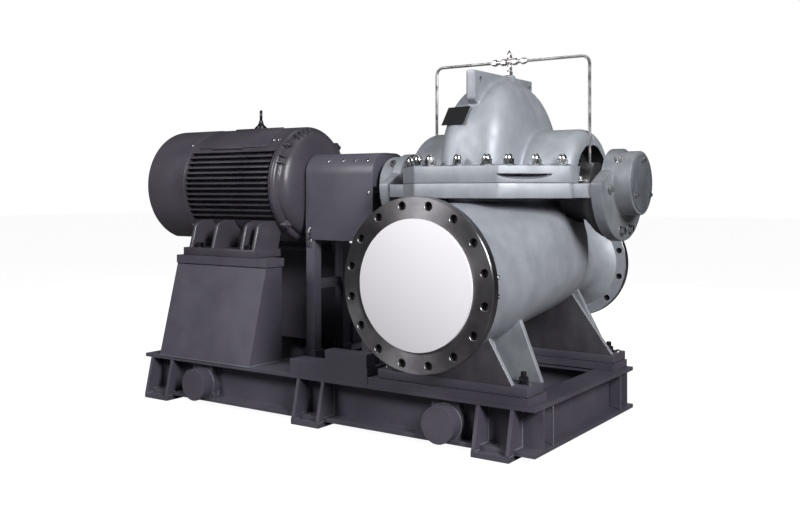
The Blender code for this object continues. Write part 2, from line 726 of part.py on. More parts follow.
def disc(start_y, end_y, radius, sides):
    """A round slice about a nozzle's centre."""
    return rod((PUMP_X, start_y, NOZZLE_Z), (PUMP_X, end_y, NOZZLE_Z), radius, sides)


def build_upper_casing():
    plate = slab(split_outline(), "Z", SHAFT_Z, SPLIT_HIGH)
    casing = add_part("casing_upper", plate, "casing_paint")
    rounding = [(HUB_ROUND_X + (HUB_END_X - HUB_ROUND_X) * x, HUB_END_R + (HUB_R - HUB_END_R) * y)
                for x, y in arc((0, 0), 1.0, 90, 0, 5)]
    left = [(-x, radius) for x, radius in reversed(rounding)]
    hubs = turned([(-HUB_END_X, 0.0), *left, *rounding, (HUB_END_X, 0.0)], PUMP_X)
    rib = slab(RIB_OUTLINE, "X", PUMP_X - RIB_T / 2, PUMP_X + RIB_T / 2)
    boss = rod((PUMP_X, CREST_Y, BOSS_LOW), (PUMP_X, CREST_Y, CREST_Z - GAP), BOSS_R, 20)
    fuse(casing, full_ball((PUMP_X, DOME_Y, SHAFT_Z), DOME_AXES, DOME_FULLNESS), hubs, rib, boss)
    far = 0.6
    below = box((PUMP_X - far, -far, SHAFT_Z - far), (PUMP_X + far, far, SHAFT_Z))
    holes = rods([((PUMP_X - RIB_T, y, RIB_HOLE_Z), (PUMP_X + RIB_T, y, RIB_HOLE_Z))
                  for y in RIB_HOLES_Y], RIB_HOLE_R, 16)
    cut(casing, below, shaft_bore(SHAFT_R + GAP), pockets(HUB_END_X + 0.05), holes)
    for sign in (-1, 1):
        x = PUMP_X + sign * FLUSH_X
        cut(casing, box((x + sign * TUBE_SLOT_X[0], -TUBE_SLOT / 2, SHAFT_Z + TUBE_SLOT_LOW),
                        (x + sign * TUBE_SLOT_X[1], TUBE_SLOT / 2 + TUBE_SLOT_SIDE, SHAFT_Z + HUB_R + PAST)))


def build_lower_casing():
    top = SHAFT_Z - GAP
    plate = slab(split_outline(), "Z", SPLIT_LOW, top)
    casing = add_part("casing_lower", plate, "casing_paint")
    arm_x = BRACKET_X[0] - GAP
    arms = rod((PUMP_X - arm_x, 0, SHAFT_Z), (PUMP_X + arm_x, 0, SHAFT_Z), SPLIT_END_Y, 48)
    suction = disc(-FACE_Y, -FACE_Y + SUCTION_T, SUCTION_R, 64)
    discharge = disc(FACE_Y, FACE_Y - DISCHARGE_T, DISCHARGE_R, 48)
    fuse(casing, loft_body(), ball((PUMP_X, 0, SHAFT_Z), LOWER_VOLUTE), arms, suction, discharge)
    for sign in (-1, 1):
        build_pump_foot(casing, sign)
    far = 0.6
    above = box((PUMP_X - far, -far, top), (PUMP_X + far, far, top + far))
    cut(casing, above, shaft_bore(SHAFT_R + GAP), pockets(BRACKET_X[0] + 0.02),
        bolt_circle(*SUCTION_HOLES, -FACE_Y - PAST, -FACE_Y + SUCTION_T + HOLE_DEEPER),
        bolt_circle(*DISCHARGE_HOLES, FACE_Y + PAST, FACE_Y - DISCHARGE_T - HOLE_DEEPER),
        disc(-FACE_Y - PAST, -FACE_Y + REGISTER, SUCTION_COVER_R + GAP, 56),
        disc(FACE_Y + PAST, FACE_Y - REGISTER, DISCHARGE_COVER_R + GAP, 56))


def build_pump_foot(casing, sign):
    """One foot of the casing: a pad with two leaning ribs and a web between them."""
    near, far = FOOT_Y
    low = RAIL_TOP + GAP
    fuse(casing, box((PUMP_X - FOOT_PAD_X, sign * near, low),
                     (PUMP_X + FOOT_PAD_X, sign * far, FOOT_PAD_TOP)))
    ribs = ((OUTER_RIBS[sign], far - FOOT_RIB_T, far), (INNER_RIBS[sign], near, near + FOOT_RIB_T),
            (MIDDLE_WEB, near + SINK, far - SINK))
    for (top_x, top_z, bottom_x), start, end in ribs:
        half = [(bottom_x, low + SINK), (bottom_x, FOOT_PAD_TOP), (top_x, top_z)]
        outline = half + [(-x, z) for x, z in reversed(half)]
        fuse(casing, slab([(PUMP_X + x, z) for x, z in outline], "Y", sign * start, sign * end))


def bracket_outline():
    """The bearing bracket's flange: half round below, leaning in to the housing above."""
    lower = arc((0, SHAFT_Z), BRACKET_R, 180, 360, 28)
    upper = arc((0, SHAFT_Z), BRACKET_TOP_R, 24, 156, 14)
    return lower + upper


def build_bearings():
    for place, sign in (("drive", -1), ("free", 1)):
        inner = PUMP_X + sign * BRACKET_X[0]
        outer = PUMP_X + sign * BRACKET_X[1]
        end = PUMP_X + sign * HOUSING_END_X
        housing = add_part(f"bearing_housing_{place}_end",
                           slab(bracket_outline(), "X", inner, outer), "bracket_paint")
        fuse(housing, rod((inner + sign * SINK, 0, SHAFT_Z), (end, 0, SHAFT_Z), HOUSING_R))
        bore_ends = ((inner - sign * PAST, 0, SHAFT_Z), (end + sign * PAST, 0, SHAFT_Z))
        cut(housing, rod(*bore_ends, SHAFT_R + GAP, 24))
        cover = add_part(f"bearing_cover_{place}_end",
                         rod((end + sign * GAP, 0, SHAFT_Z), (PUMP_X + sign * COVER_END_X, 0, SHAFT_Z),
                             COVER_R), "bracket_paint")
        if sign < 0:
            cut(cover, rod((end, 0, SHAFT_Z), (PUMP_X + sign * (COVER_END_X + PAST), 0, SHAFT_Z),
                           SHAFT_R + GAP, 24))
        gland = add_part(f"gland_{place}_end",
                         rod((PUMP_X + sign * (POCKET_X + GAP), 0, SHAFT_Z),
                             (PUMP_X + sign * GLAND_END_X, 0, SHAFT_Z), GLAND_R, 32), "stainless")
        cut(gland, shaft_bore(SHAFT_R + GAP))
    add_part("pump_shaft", rod((PUMP_HALF_X[0] + COUPLING_WALL + SHAFT_CLEARANCE, 0, SHAFT_Z),
                               (PUMP_X + HOUSING_END_X - SHAFT_CLEARANCE, 0, SHAFT_Z), SHAFT_R, 24),
             "stainless")


def flush_route(sign):
    """A tube's route: out from the cross, round one bend and down to the gland."""
    start = (PUMP_X + sign * (CROSS_ARM_X + TUBE_CLEARANCE), CREST_Y, CROSS_Z)
    bend = [(PUMP_X + sign * (FLUSH_X - BEND_R + BEND_R * math.sin(math.radians(t))), CREST_Y,
             CROSS_Z - BEND_R + BEND_R * math.cos(math.radians(t))) for t in range(0, 91, 15)]
    # Measured at the tube's outer side, and the rise clears the gland's higher round at its inner side
    clear = math.sqrt(GLAND_R ** 2 - (CREST_Y + TUBE_R) ** 2)
    end = (PUMP_X + sign * FLUSH_X, CREST_Y, SHAFT_Z + clear + TUBE_END_RISE)
    return [start] + bend + [end]


def build_flush_line():
    cross = add_part("flush_cross", rod((PUMP_X, CREST_Y, CREST_Z), (PUMP_X, CREST_Y, CROSS_TOP),
                                        CROSS_STEM_R, 16), "stainless")
    fuse(cross, rod((PUMP_X - CROSS_ARM_X, CREST_Y, CROSS_Z), (PUMP_X + CROSS_ARM_X, CREST_Y, CROSS_Z),
                    CROSS_ARM_R, 16),
         ball((PUMP_X, CREST_Y, CROSS_Z), CROSS_BALL, 16, 8))
    for place, sign in (("drive", -1), ("free", 1)):
        add_part(f"flush_tube_{place}_end", tube(flush_route(sign), TUBE_R), "stainless")


def build_covers():
    for name, sign, radius in (("suction_cover", -1, SUCTION_COVER_R),
                               ("discharge_cover", 1, DISCHARGE_COVER_R)):
        seat = FACE_Y - REGISTER + GAP
        add_part(name, disc(sign * COVER_Y, sign * seat, radius, 56), "white_cover")


def dome_point(turn, lift):
    """A point of the dome's surface, at a direction from its centre in degrees."""
    turn, lift = math.radians(turn), math.radians(lift)
    unit = Vector((-math.sin(turn) * math.cos(lift), -math.cos(turn) * math.cos(lift), math.sin(lift)))
    reach = swell(unit, DOME_FULLNESS)
    return Vector((PUMP_X, DOME_Y, SHAFT_Z)) + Vector([a * u * reach for a, u in zip(DOME_AXES, unit)])


def build_nameplate():
    """A thin plate that lies against the dome, on the side towards the motor."""
    spot = dome_point(PLATE_TURN, PLATE_LIFT)
    step = 2.0
    sideways = dome_point(PLATE_TURN - step, PLATE_LIFT) - dome_point(PLATE_TURN + step, PLATE_LIFT)
    rise = dome_point(PLATE_TURN, PLATE_LIFT + step) - dome_point(PLATE_TURN, PLATE_LIFT - step)
    normal = sideways.cross(rise).normalized()
    across = Vector((0, 0, 1)).cross(normal).normalized()
    upward = normal.cross(across)
    frame = Matrix((across, upward, normal)).transposed().to_4x4()
    shape = bmesh.new()
    place = (Matrix.Translation(spot + normal * (PLATE_SIZE[2] / 2 + GAP - DOME_SAG)) @ frame
             @ Matrix.Diagonal((*PLATE_SIZE, 1.0)))
    bmesh.ops.create_cube(shape, size=1.0, matrix=place)
    add_part("nameplate", mesh_from(shape), "black_plate")


build_base()
build_supports()
build_motor()
build_drive()
build_lower_casing()
build_upper_casing()
build_bearings()
build_flush_line()
build_covers()
build_nameplate()
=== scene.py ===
"""The looks of the split-case pump set: castings, fasteners, finishes, light and camera."""
import json
import math

import bmesh
import bpy
from mathutils import Matrix, Vector


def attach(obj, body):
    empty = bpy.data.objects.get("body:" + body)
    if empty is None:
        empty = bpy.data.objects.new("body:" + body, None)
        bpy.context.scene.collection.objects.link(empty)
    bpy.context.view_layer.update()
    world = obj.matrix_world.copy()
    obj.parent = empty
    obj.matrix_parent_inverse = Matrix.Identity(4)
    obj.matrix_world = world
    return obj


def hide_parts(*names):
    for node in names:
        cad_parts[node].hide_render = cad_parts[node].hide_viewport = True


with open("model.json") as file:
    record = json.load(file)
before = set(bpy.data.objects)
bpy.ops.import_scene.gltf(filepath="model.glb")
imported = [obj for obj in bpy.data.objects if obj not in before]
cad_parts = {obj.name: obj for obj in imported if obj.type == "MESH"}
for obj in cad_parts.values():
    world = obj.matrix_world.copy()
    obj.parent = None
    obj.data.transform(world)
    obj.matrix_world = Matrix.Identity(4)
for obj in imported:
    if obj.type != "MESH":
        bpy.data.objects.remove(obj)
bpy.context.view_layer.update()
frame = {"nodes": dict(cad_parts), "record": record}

# All sizes are in metres. The shaft runs along X, and the suction nozzle faces -Y.
SHAFT_Z = 0.940
SHAFT_R = 0.036
CAST_BORE_R = SHAFT_R + 0.002
TURNED_BORE_R = SHAFT_R + 0.001
PUMP_X = 0.621
NOZZLE_Z = 0.596
CAST_EDGE = 0.003
CUTTER_REACH = 0.6

# The split flange: its faces, the seam between its halves, and its front and end corners as seen from
# the pump's middle
SPLIT_LOW = 0.886
SPLIT_HIGH = 1.001
SPLIT_SEAM = (SHAFT_Z - 0.0009, SHAFT_Z + 0.0006)
SPLIT_FRONT = (0.175, 0.412)
SPLIT_END = (0.360, 0.206)
SPLIT_ROUND = 0.012
CORNER_STEPS = 4
# The flange's core in each grown casting: how far it stays inside the crisp flange, its rounding, and
# the reach of the flange that it is drawn in against
SPLIT_CORE = (0.012, 0.020)
SPLIT_REACH = 0.4
SIDE_STUDS = ((0.324, -0.2055), (0.256, -0.2815), (0.188, -0.357), (0.117, -0.385))
STUD_PLACES = (*SIDE_STUDS, (0.0, -0.385), *[(-x, y) for x, y in reversed(SIDE_STUDS)])

# The dome: its middle, its half axes, and how full it is in profile, at the rear and in front, where 2
# is an ellipse
DOME_CENTRE = (PUMP_X, -0.026, SHAFT_Z)
DOME_AXES = (0.160, 0.326, 0.398)
DOME_FULLNESS = (2.35, 2.3, 4.0)

# The hubs on both sides of the dome
HUB_R = 0.203
HUB_END_R = 0.162
HUB_END_X = 0.350
HUB_ROUND_X = 0.300
UPPER_VOXEL = 0.005

# The open pockets for the glands: upper and lower halves, and the slots that let the flush tubes in
HUB_POCKET_R = 0.144
POCKET_R = 0.115
POCKET_X = 0.280
POCKET_END_X = 0.46
TUBE_SLOT_X = (0.318, 0.396)
TUBE_SLOT_Y = (-0.017, 0.021)
TUBE_SLOT_Z = (SHAFT_Z + 0.080, 1.2)

# The lifting rib across the dome, drawn as (y, z), and the boss at the dome's crest, at this y and z
RIB_T = 0.040
RIB_OUTLINE = ((-0.297, 1.357), (-0.297, 1.248), (-0.200, 1.180), (0.100, 1.200), (0.172, 1.300),
               (0.172, 1.357))
RIB_HOLES_Y = (-0.252, 0.148)
RIB_HOLE_Z = 1.325
RIB_HOLE_R = 0.011
CREST = (0.010, 1.367)
CREST_R = 0.024
CREST_LOW = 1.300

# The scoop under the edge of a slanting side: its top, its share of the way along, and its half axes
SCOOP_TOP = 0.9725
SCOOP_SHARE = 0.36
SCOOP_AXES = (0.104, 0.030, 0.020)

# Each ring of the barrel: y, half width, half height, middle height, and how full its upper half is
BODY = (
    (-0.640, 0.238, 0.238, 0.596, 2.0),
    (-0.520, 0.250, 0.248, 0.600, 2.0),
    (-0.380, 0.278, 0.256, 0.614, 2.2),
    (-0.200, 0.312, 0.243, 0.636, 2.9),
    (-0.040, 0.323, 0.231, 0.650, 3.6),
    (0.060, 0.310, 0.222, 0.655, 3.4),
    (0.130, 0.262, 0.205, 0.650, 2.7),
    (0.200, 0.192, 0.184, 0.632, 2.2),
    (0.320, 0.146, 0.158, 0.606, 2.0),
    (0.520, 0.142, 0.144, 0.596, 2.0),
    (0.590, 0.158, 0.158, 0.596, 2.0),
    (0.645, 0.206, 0.206, 0.596, 2.0),
)
BODY_SIDES = 96
RING_STEPS = 8
LOWER_VOLUTE = (0.225, 0.260, 0.400)
LOWER_VOXEL = 0.006

# A lug under each end of the split flange: its top and bottom X, its Y, its bottom and its radius
LUG_X = (0.283, 0.300)
LUG_Y = 0.020
LUG_LOW = 0.730
LUG_R = 0.017

# The arms between barrel and bearing brackets: their end and their radius beside the barrel
ARM_X = 0.4315
ARM_R = 0.132
ARM_BACK = 0.010

# The casing's feet. Each rib is its top half width, its top, and its bottom half width. Nuts and jack
# screws are placed from the pump's middle.
RAIL_TOP = 0.2163
FOOT_PAD_X = 0.309
FOOT_PAD_TOP = 0.252
FOOT_Y = (0.321, 0.449)
FOOT_RIB_T = 0.022
FOOT_CORE_IN = 0.004
OUTER_RIBS = {-1: (0.151, 0.418, 0.249), 1: (0.102, 0.500, 0.232)}
INNER_RIBS = {-1: (0.214, 0.490, 0.308), 1: (0.101, 0.520, 0.298)}
MIDDLE_WEB = (0.100, 0.440, 0.170)
FOOT_NUTS = (0.262, 0.385)
FOOT_JACKS = (0.293, 0.405)

# Each nozzle: side, flange radius, thickness, bolt count, pitch radius, hole radius, cover radius
SUCTION = (-1, 0.2985, 0.034, 16, 0.270, 0.0143, 0.2235)
DISCHARGE = (1, 0.2415, 0.030, 12, 0.216, 0.0127, 0.190)
NOZZLE_BORE = 0.150
FACE_Y = 0.6657
COVER_Y = 0.675
COVER_SEAT = 0.0008
HOLE_CHAMFER = 0.0028

# The bearing ends, measured along the shaft from the pump's middle
BRACKET_X = (0.430, 0.473)
BRACKET_R = 0.211
HOUSING_R = 0.116
HOUSING_END_X = 0.540
COVER_END_X = 0.553
COVER_R = 0.104
COVER_SCREW = 0.013
COVER_SCREW_R = 0.085

# Smaller pump fasteners: the bolts of a bearing bracket as (y, z) from the shaft, the gland nuts as
# (x, y) from the pump's middle, and the gauge plugs behind the suction flange
BRACKET_BOLTS = ((-0.142, -0.021), (0.142, -0.021), (-0.030, -0.172), (0.052, -0.168))
GLAND_NUTS = ((0.342, -0.094), (0.350, -0.045), (0.342, 0.094))
GLAND_NUT_Z = SHAFT_Z + 0.006
GAUGE_PLUGS = ((0.8765, -0.556, 0.628), (0.8765, -0.556, 0.565))

# The flush line's cross, and its unions on each side: start, end and width across flats
CROSS_Z = 1.419
CROSS_UNIONS = ((0.014, 0.034, 0.024), (0.054, 0.070, 0.023), (0.070, 0.077, 0.017))

# The motor's frame, its feet, their bolts, and the webs that stand on them, drawn as (y, z)
MOTOR_END_X = -0.399
MOTOR_R = 0.262
MOTOR_TOP = 1.2005
MOTOR_FOOT_LOW = 0.6258
MOTOR_FOOT_TOP = 0.660
MOTOR_FOOT_X = (-0.838, -0.403)
MOTOR_FOOT_Y = (0.180, 0.345)
MOTOR_BOLT_X = (-0.459, -0.764)
MOTOR_BOLT_Y = 0.317
MOTOR_WEB_X = (-0.802, -0.667, -0.493, -0.424)
MOTOR_WEB_T = 0.020
MOTOR_WEB = ((0.185, 0.650), (0.338, 0.650), (0.334, 0.668), (0.310, 0.752), (0.303, 0.765),
             (0.290, 0.773), (0.240, 0.785), (0.150, 0.785))

# The fins: their count on a side, the lowest and the highest, and their free ends
FIN_COUNT = 12
FIN_Z = (0.802, 1.0665)
FIN_PITCH = (FIN_Z[1] - FIN_Z[0]) / (FIN_COUNT - 1)
FIN_T = 0.0078
FIN_DEPTH = 0.028
FIN_END_X = -0.413
FIN_REACH_Y = 0.30

# The drive-end shield as (way along the shaft from its seat, radius), its ears and its ribs
SHIELD = ((0.0, 0.2575), (0.002, 0.2610), (0.007, 0.2620), (0.013, 0.2606), (0.018, 0.2575),
          (0.022, 0.2530), (0.025, 0.2470), (0.0265, 0.2400), (0.029, 0.2370), (0.034, 0.2375),
          (0.042, 0.2350), (0.050, 0.2300), (0.058, 0.2225), (0.066, 0.2110), (0.073, 0.1950),
          (0.079, 0.1740), (0.083, 0.1480), (0.084, 0.1200), (0.108, 0.1100))
SHIELD_BORE_X = 0.050
EAR_TURNS = (45, 135, 225, 315)
EAR_X = MOTOR_END_X + 0.036
EAR_R = (0.215, 0.265)
EAR_HALF = 0.018
EAR_BOLT_R = 0.247
SHIELD_RIB = ((0.030, 0.225), (0.030, 0.2615), (0.034, 0.2600), (0.050, 0.236), (0.050, 0.225))
SHIELD_RIB_TURNS = (7.5, 15, 22.5, 30, 60, 67.5)

# The screws on the motor's shoulders: their turns from upright in degrees, and their X
SHOULDER_SCREW_TURNS = (-41, 41)
SHOULDER_SCREW_X = (-0.448, -0.418)

# The side panel and its two lips: turns from upright in degrees, and start and end along the shaft
PANEL_TURNS = (21, 51)
PANEL_X = (-0.880, -0.462)
PANEL_R = (0.255, 0.2695)
PANEL_LIPS = ((17.5, 20.0, -0.760, -0.470), (50.5, 53.0, -0.790, -0.600))
LIP_R = (0.258, 0.2735)
BENT_EDGE_ANGLE = 40

# The eye bolt
EYE_X = -0.686
EYE_TOP = 1.293
EYE_RING_R = 0.020
EYE_WIRE_R = 0.0065
EYE_TURN = 43

# The fan's cowl, the fan, and the wire rings over its opening
COWL_X = (-1.180, -0.915)
COWL_R = 0.264
COWL_ROUND = 0.018
COWL_FLAT_Z = 0.690
COWL_OPEN_R = 0.200
COWL_BACK_R = 0.10
FAN_BLADES = 9
GRILLE_R = COWL_OPEN_R + 0.004
GRILLE_RINGS = 8
GRILLE_PITCH = 0.024
GRILLE_SPOKES = 4
GRILLE_WIRE_R = 0.0018

# The coupling guard: the way its shoulders face is 40 degrees up
GUARD_HALF_Y = 0.129
GUARD_TOP = 1.074
GUARD_X = (-0.304, 0.057)
GUARD_LOW = 0.700
GUARD_T = 0.004
GUARD_ROUND = 0.093
GUARD_SHOULDER = (0.766, 0.643)
GUARD_PLATE_LOW = 0.930
GUARD_SHAFT_WAY_R = 0.070
GUARD_SCREW_X = (-0.190, -0.110, -0.045, 0.020)
GUARD_END_SCREW = (0.040, 0.905)
SHEET_EDGE = 0.0008

# The base frame's welds: the feet's ends, and each gusset's three beads from one (y, z) to another, up
# the beam, along the foot and along its pad
FEET_X = ((-0.926, -0.786), (-0.077, 0.060), (0.733, 0.879))
GUSSET_BEADS = (((0.392, 0.036), (0.392, 0.172)), ((0.394, 0.0355), (0.453, 0.0355)),
                ((0.457, 0.0205), (0.487, 0.0205)))

# The welds of trunnions, pedestals and end beams, and the bead itself
BEAM_WELD_Z = (0.036, 0.172)
BEAM_FACE_Y = 0.393
TRUNNIONS_X = (-0.626, 0.595)
TRUNNION_Z = 0.0875
TRUNNION_R = 0.068
TRUNNION_Y = 0.4305
DOUBLER_HALF = 0.058
PEDESTAL_X = (-0.868, -0.333)
PEDESTAL_Y = (0.256, 0.452)
PEDESTAL_Z = 0.189
END_BEAMS_X = (-0.960, 0.960)
END_BEAMS_Y = 0.3155
BEAD_R = 0.0028
BEAD_RIPPLE = 0.005

# The camera, as it was found from the photograph; it looks level, and its turn is in degrees from Y
CAMERA_PLACE = (2.337, -3.269, 0.910)
CAMERA_TURN = 34.3
CAMERA_LENS = 42.03
CAMERA_SENSOR = 36
CAMERA_SHIFT = -0.0919

# Each lamp: its place, what it faces, its width and height, its power, and whether reflections show it
LAMPS = {
    "key_light": ((-1.6, -4.0, 3.1), (0.2, 0, 0.75), (2.0, 1.4), 135, True),
    "side_light": ((5.3, -3.1, 3.5), (0.8, 0, 0.8), (1.1, 2.2), 430, True),
    "back_light": ((-0.9, 5.1, 1.9), (0.1, 0, 0.7), (2.0, 1.6), 250, False),
    "top_light": ((0.4, 0.6, 4.4), (0.2, 0, 0.8), (3.0, 1.6), 14, True),
}
FLOOR_HALF = 30
FLOOR_Z = (-0.02, -0.0005)

# Turns that point a shape's own Z axis along one of the world's
AXES = {
    "X": Matrix.Rotation(math.pi / 2, 4, "Y"),
    "Y": Matrix.Rotation(-math.pi / 2, 4, "X"),
    "Z": Matrix.Identity(4),
}
# Most of a noise's values lie between these two, and are stretched to run from 0 to 1
NOISE_SPAN = {"From Min": 0.35, "From Max": 0.65}


# Finishes

def linear(code):
    """An sRGB hex colour as linear red, green, blue and alpha."""
    parts = [int(code[i:i + 2], 16) / 255 for i in (1, 3, 5)]
    return (*[p / 12.92 if p <= 0.04045 else ((p + 0.055) / 1.055) ** 2.4 for p in parts], 1.0)


def wire(tree, node, sockets):
    """Give a node's inputs their values, or link them to other nodes' outputs."""
    for name, value in sockets.items():
        if isinstance(value, bpy.types.NodeSocket):
            tree.links.new(value, node.inputs[name])
        else:
            node.inputs[name].default_value = value


def add_node(tree, kind, sockets, pick=0, **settings):
    """Add a node with its settings and links, and give back one of its outputs."""
    node = tree.nodes.new(kind)
    for name, value in settings.items():
        setattr(node, name, value)
    wire(tree, node, sockets)
    return node.outputs[pick] if node.outputs else None


def new_finish(name):
    """A new material with its tree, its shader and the object's own coordinates."""
    material = bpy.data.materials.new(name)
    material.use_nodes = True
    tree = material.node_tree
    shader = tree.nodes["Principled BSDF"]
    place = add_node(tree, "ShaderNodeTexCoord", {}, "Object")
    return material, tree, shader, place


def slate_paint(name, base, worn, grain, depth, rough, edge):
    """Two-pack slate paint sprayed on steel or iron: satin, with the ripple of the surface under it.

    Grain and depth are the ripple's size in millimetres. Edges are drawn with a small round, so that
    they catch the light as a painted edge does. Dust greys what faces up.
    """
    material, tree, shader, place = new_finish(name)
    patches = add_node(tree, "ShaderNodeTexNoise", {"Vector": place, "Scale": 1000 / 240, "Detail": 4.0})
    share = add_node(tree, "ShaderNodeMapRange", {"Value": patches, **NOISE_SPAN})
    colour = add_node(tree, "ShaderNodeMix", {0: share, 6: linear(base), 7: linear(worn)}, 2,
                      data_type="RGBA")
    normal = add_node(tree, "ShaderNodeNewGeometry", {}, "Normal")
    up = add_node(tree, "ShaderNodeSeparateXYZ", {0: normal}, 2)
    lying = add_node(tree, "ShaderNodeMapRange", {"Value": up, "From Min": 0.7, "From Max": 1.0,
                                                   "To Max": 0.07})
    drift = add_node(tree, "ShaderNodeTexNoise", {"Vector": place, "Scale": 1000 / 70, "Detail": 5.0})
    dust = add_node(tree, "ShaderNodeMath", {0: lying, 1: drift}, operation="MULTIPLY")
    colour = add_node(tree, "ShaderNodeMix", {0: dust, 6: colour, 7: linear("#8A888C")}, 2,
                      data_type="RGBA")
    rounded = add_node(tree, "ShaderNodeBevel", {"Radius": edge / 1000}, samples=4)
    ripple = add_node(tree, "ShaderNodeTexNoise", {"Vector": place, "Scale": 1000 / grain, "Detail": 2.0})
    gloss = add_node(tree, "ShaderNodeTexNoise", {"Vector": place, "Scale": 1000 / 90, "Detail": 4.0})
    wire(tree, shader, {
        "Base Color": colour,
        "Roughness": add_node(tree, "ShaderNodeMapRange", {
            "Value": gloss, **NOISE_SPAN, "To Min": rough - 0.06, "To Max": rough + 0.08}),
        "IOR": 1.5,
        "Normal": add_node(tree, "ShaderNodeBump", {"Height": ripple, "Distance": depth / 1000,
                                                     "Normal": rounded}),
    })
    return material


def silver_cast_paint(name, dark, light, metal, edge):
    """Silver paint on sand-cast iron: a metallic satin with faint clouds and the pebble of the sand.

    The clouds are about 60 mm across and drawn out upwards, as the paint ran; the pebble is 3 mm.
    """
    material, tree, shader, place = new_finish(name)
    drawn = add_node(tree, "ShaderNodeMapping", {"Vector": place, "Scale": (1.0, 1.0, 0.65)})
    clouds = add_node(tree, "ShaderNodeTexNoise", {"Vector": drawn, "Scale": 1000 / 60, "Detail": 4.0})
    share = add_node(tree, "ShaderNodeMapRange", {"Value": clouds, **NOISE_SPAN})
    rounded = add_node(tree, "ShaderNodeBevel", {"Radius": edge / 1000}, samples=4)
    swells = add_node(tree, "ShaderNodeTexNoise", {"Vector": place, "Scale": 1000 / 55, "Detail": 1.0})
    swollen = add_node(tree, "ShaderNodeBump", {"Height": swells, "Distance": 0.0007, "Normal": rounded})
    pebble = add_node(tree, "ShaderNodeTexNoise", {"Vector": place, "Scale": 1000 / 3.0, "Detail": 2.0})
    gloss = add_node(tree, "ShaderNodeTexNoise", {"Vector": place, "Scale": 1000 / 45, "Detail": 4.0})
    wire(tree, shader, {
        "Base Color": add_node(tree, "ShaderNodeMix", {0: share, 6: linear(dark), 7: linear(light)}, 2,
                               data_type="RGBA"),
        "Metallic": metal,
        "Roughness": add_node(tree, "ShaderNodeMapRange", {
            "Value": gloss, **NOISE_SPAN, "To Min": 0.46, "To Max": 0.58}),
        "IOR": 1.5,
        "Normal": add_node(tree, "ShaderNodeBump", {"Height": pebble, "Distance": 0.00022,
                                                     "Normal": swollen}),
    })
    return material


def turned_flange_steel(name):
    """Bare steel faced on a lathe: fine rings, which pull each highlight out along the radius.

    The real rings are under a millimetre apart; they are drawn 2.4 mm apart, so that they show.
    """
    material, tree, shader, place = new_finish(name)
    arm = add_node(tree, "ShaderNodeVectorMath", {0: place, 1: (PUMP_X, 0.0, NOZZLE_Z)},
                   operation="SUBTRACT")
    flat = add_node(tree, "ShaderNodeVectorMath", {0: arm, 1: (1.0, 0.0, 1.0)}, operation="MULTIPLY")
    reach = add_node(tree, "ShaderNodeVectorMath", {0: flat}, "Value", operation="LENGTH")
    rings = add_node(tree, "ShaderNodeTexNoise", {"W": reach, "Scale": 1000 / 2.4, "Detail": 3.0},
                     noise_dimensions="1D")
    stains = add_node(tree, "ShaderNodeTexNoise", {"Vector": place, "Scale": 1000 / 85, "Detail": 4.0})
    share = add_node(tree, "ShaderNodeMapRange", {"Value": stains, **NOISE_SPAN})
    wire(tree, shader, {
        "Base Color": add_node(tree, "ShaderNodeMix", {0: share, 6: linear("#77757A"),
                                                        7: linear("#989699")}, 2, data_type="RGBA"),
        "Metallic": 1.0,
        "Roughness": add_node(tree, "ShaderNodeMapRange", {
            "Value": rings, **NOISE_SPAN, "To Min": 0.34, "To Max": 0.46}),
        "Anisotropic": 0.8,
        "Tangent": flat,
        "Normal": add_node(tree, "ShaderNodeBump", {"Height": rings, "Distance": 0.00004}),
    })
    return material


def bright_metal(name, base, rough, smear):
    """Bright metal such as chrome, zinc plate or drawn stainless, its gloss broken by handling.

    Smear is the size of the handling marks in millimetres.
    """
    material, tree, shader, place = new_finish(name)
    marks = add_node(tree, "ShaderNodeTexNoise", {"Vector": place, "Scale": 1000 / smear, "Detail": 3.0})
    wire(tree, shader, {
        "Base Color": linear(base),
        "Metallic": 1.0,
        "Roughness": add_node(tree, "ShaderNodeMapRange", {
            "Value": marks, **NOISE_SPAN, "To Min": rough * 0.7, "To Max": rough * 1.3}),
        "Normal": add_node(tree, "ShaderNodeBump", {"Height": marks, "Distance": 0.00003}),
    })
    return material


def white_laminate(name):
    """The blank sheet over each nozzle: matt white laminate with a faint moulded skin."""
    material, tree, shader, place = new_finish(name)
    cast = add_node(tree, "ShaderNodeTexNoise", {"Vector": place, "Scale": 1000 / 160, "Detail": 3.0})
    skin = add_node(tree, "ShaderNodeTexNoise", {"Vector": place, "Scale": 1000 / 2.5, "Detail": 2.0})
    wire(tree, shader, {
        "Base Color": add_node(tree, "ShaderNodeMix", {0: cast, 6: linear("#E6E4E9"),
                                                        7: linear("#E2E0E5")}, 2, data_type="RGBA"),
        "Roughness": add_node(tree, "ShaderNodeMapRange", {
            "Value": cast, **NOISE_SPAN, "To Min": 0.50, "To Max": 0.58}),
        "IOR": 1.5,
        "Normal": add_node(tree, "ShaderNodeBump", {"Height": skin, "Distance": 0.00003}),
    })
    return material


def dark_finish(name, base, rough):
    """Near-black: the blank plate's enamel, and painted shade inside holes, pockets and other hollows."""
    material, tree, shader, place = new_finish(name)
    marks = add_node(tree, "ShaderNodeTexNoise", {"Vector": place, "Scale": 1000 / 6, "Detail": 3.0})
    wire(tree, shader, {
        "Base Color": linear(base),
        "Roughness": add_node(tree, "ShaderNodeMapRange", {
            "Value": marks, **NOISE_SPAN, "To Min": rough - 0.08, "To Max": rough + 0.08}),
        "Normal": add_node(tree, "ShaderNodeBump", {"Height": marks, "Distance": 0.0001}),
    })
    return material


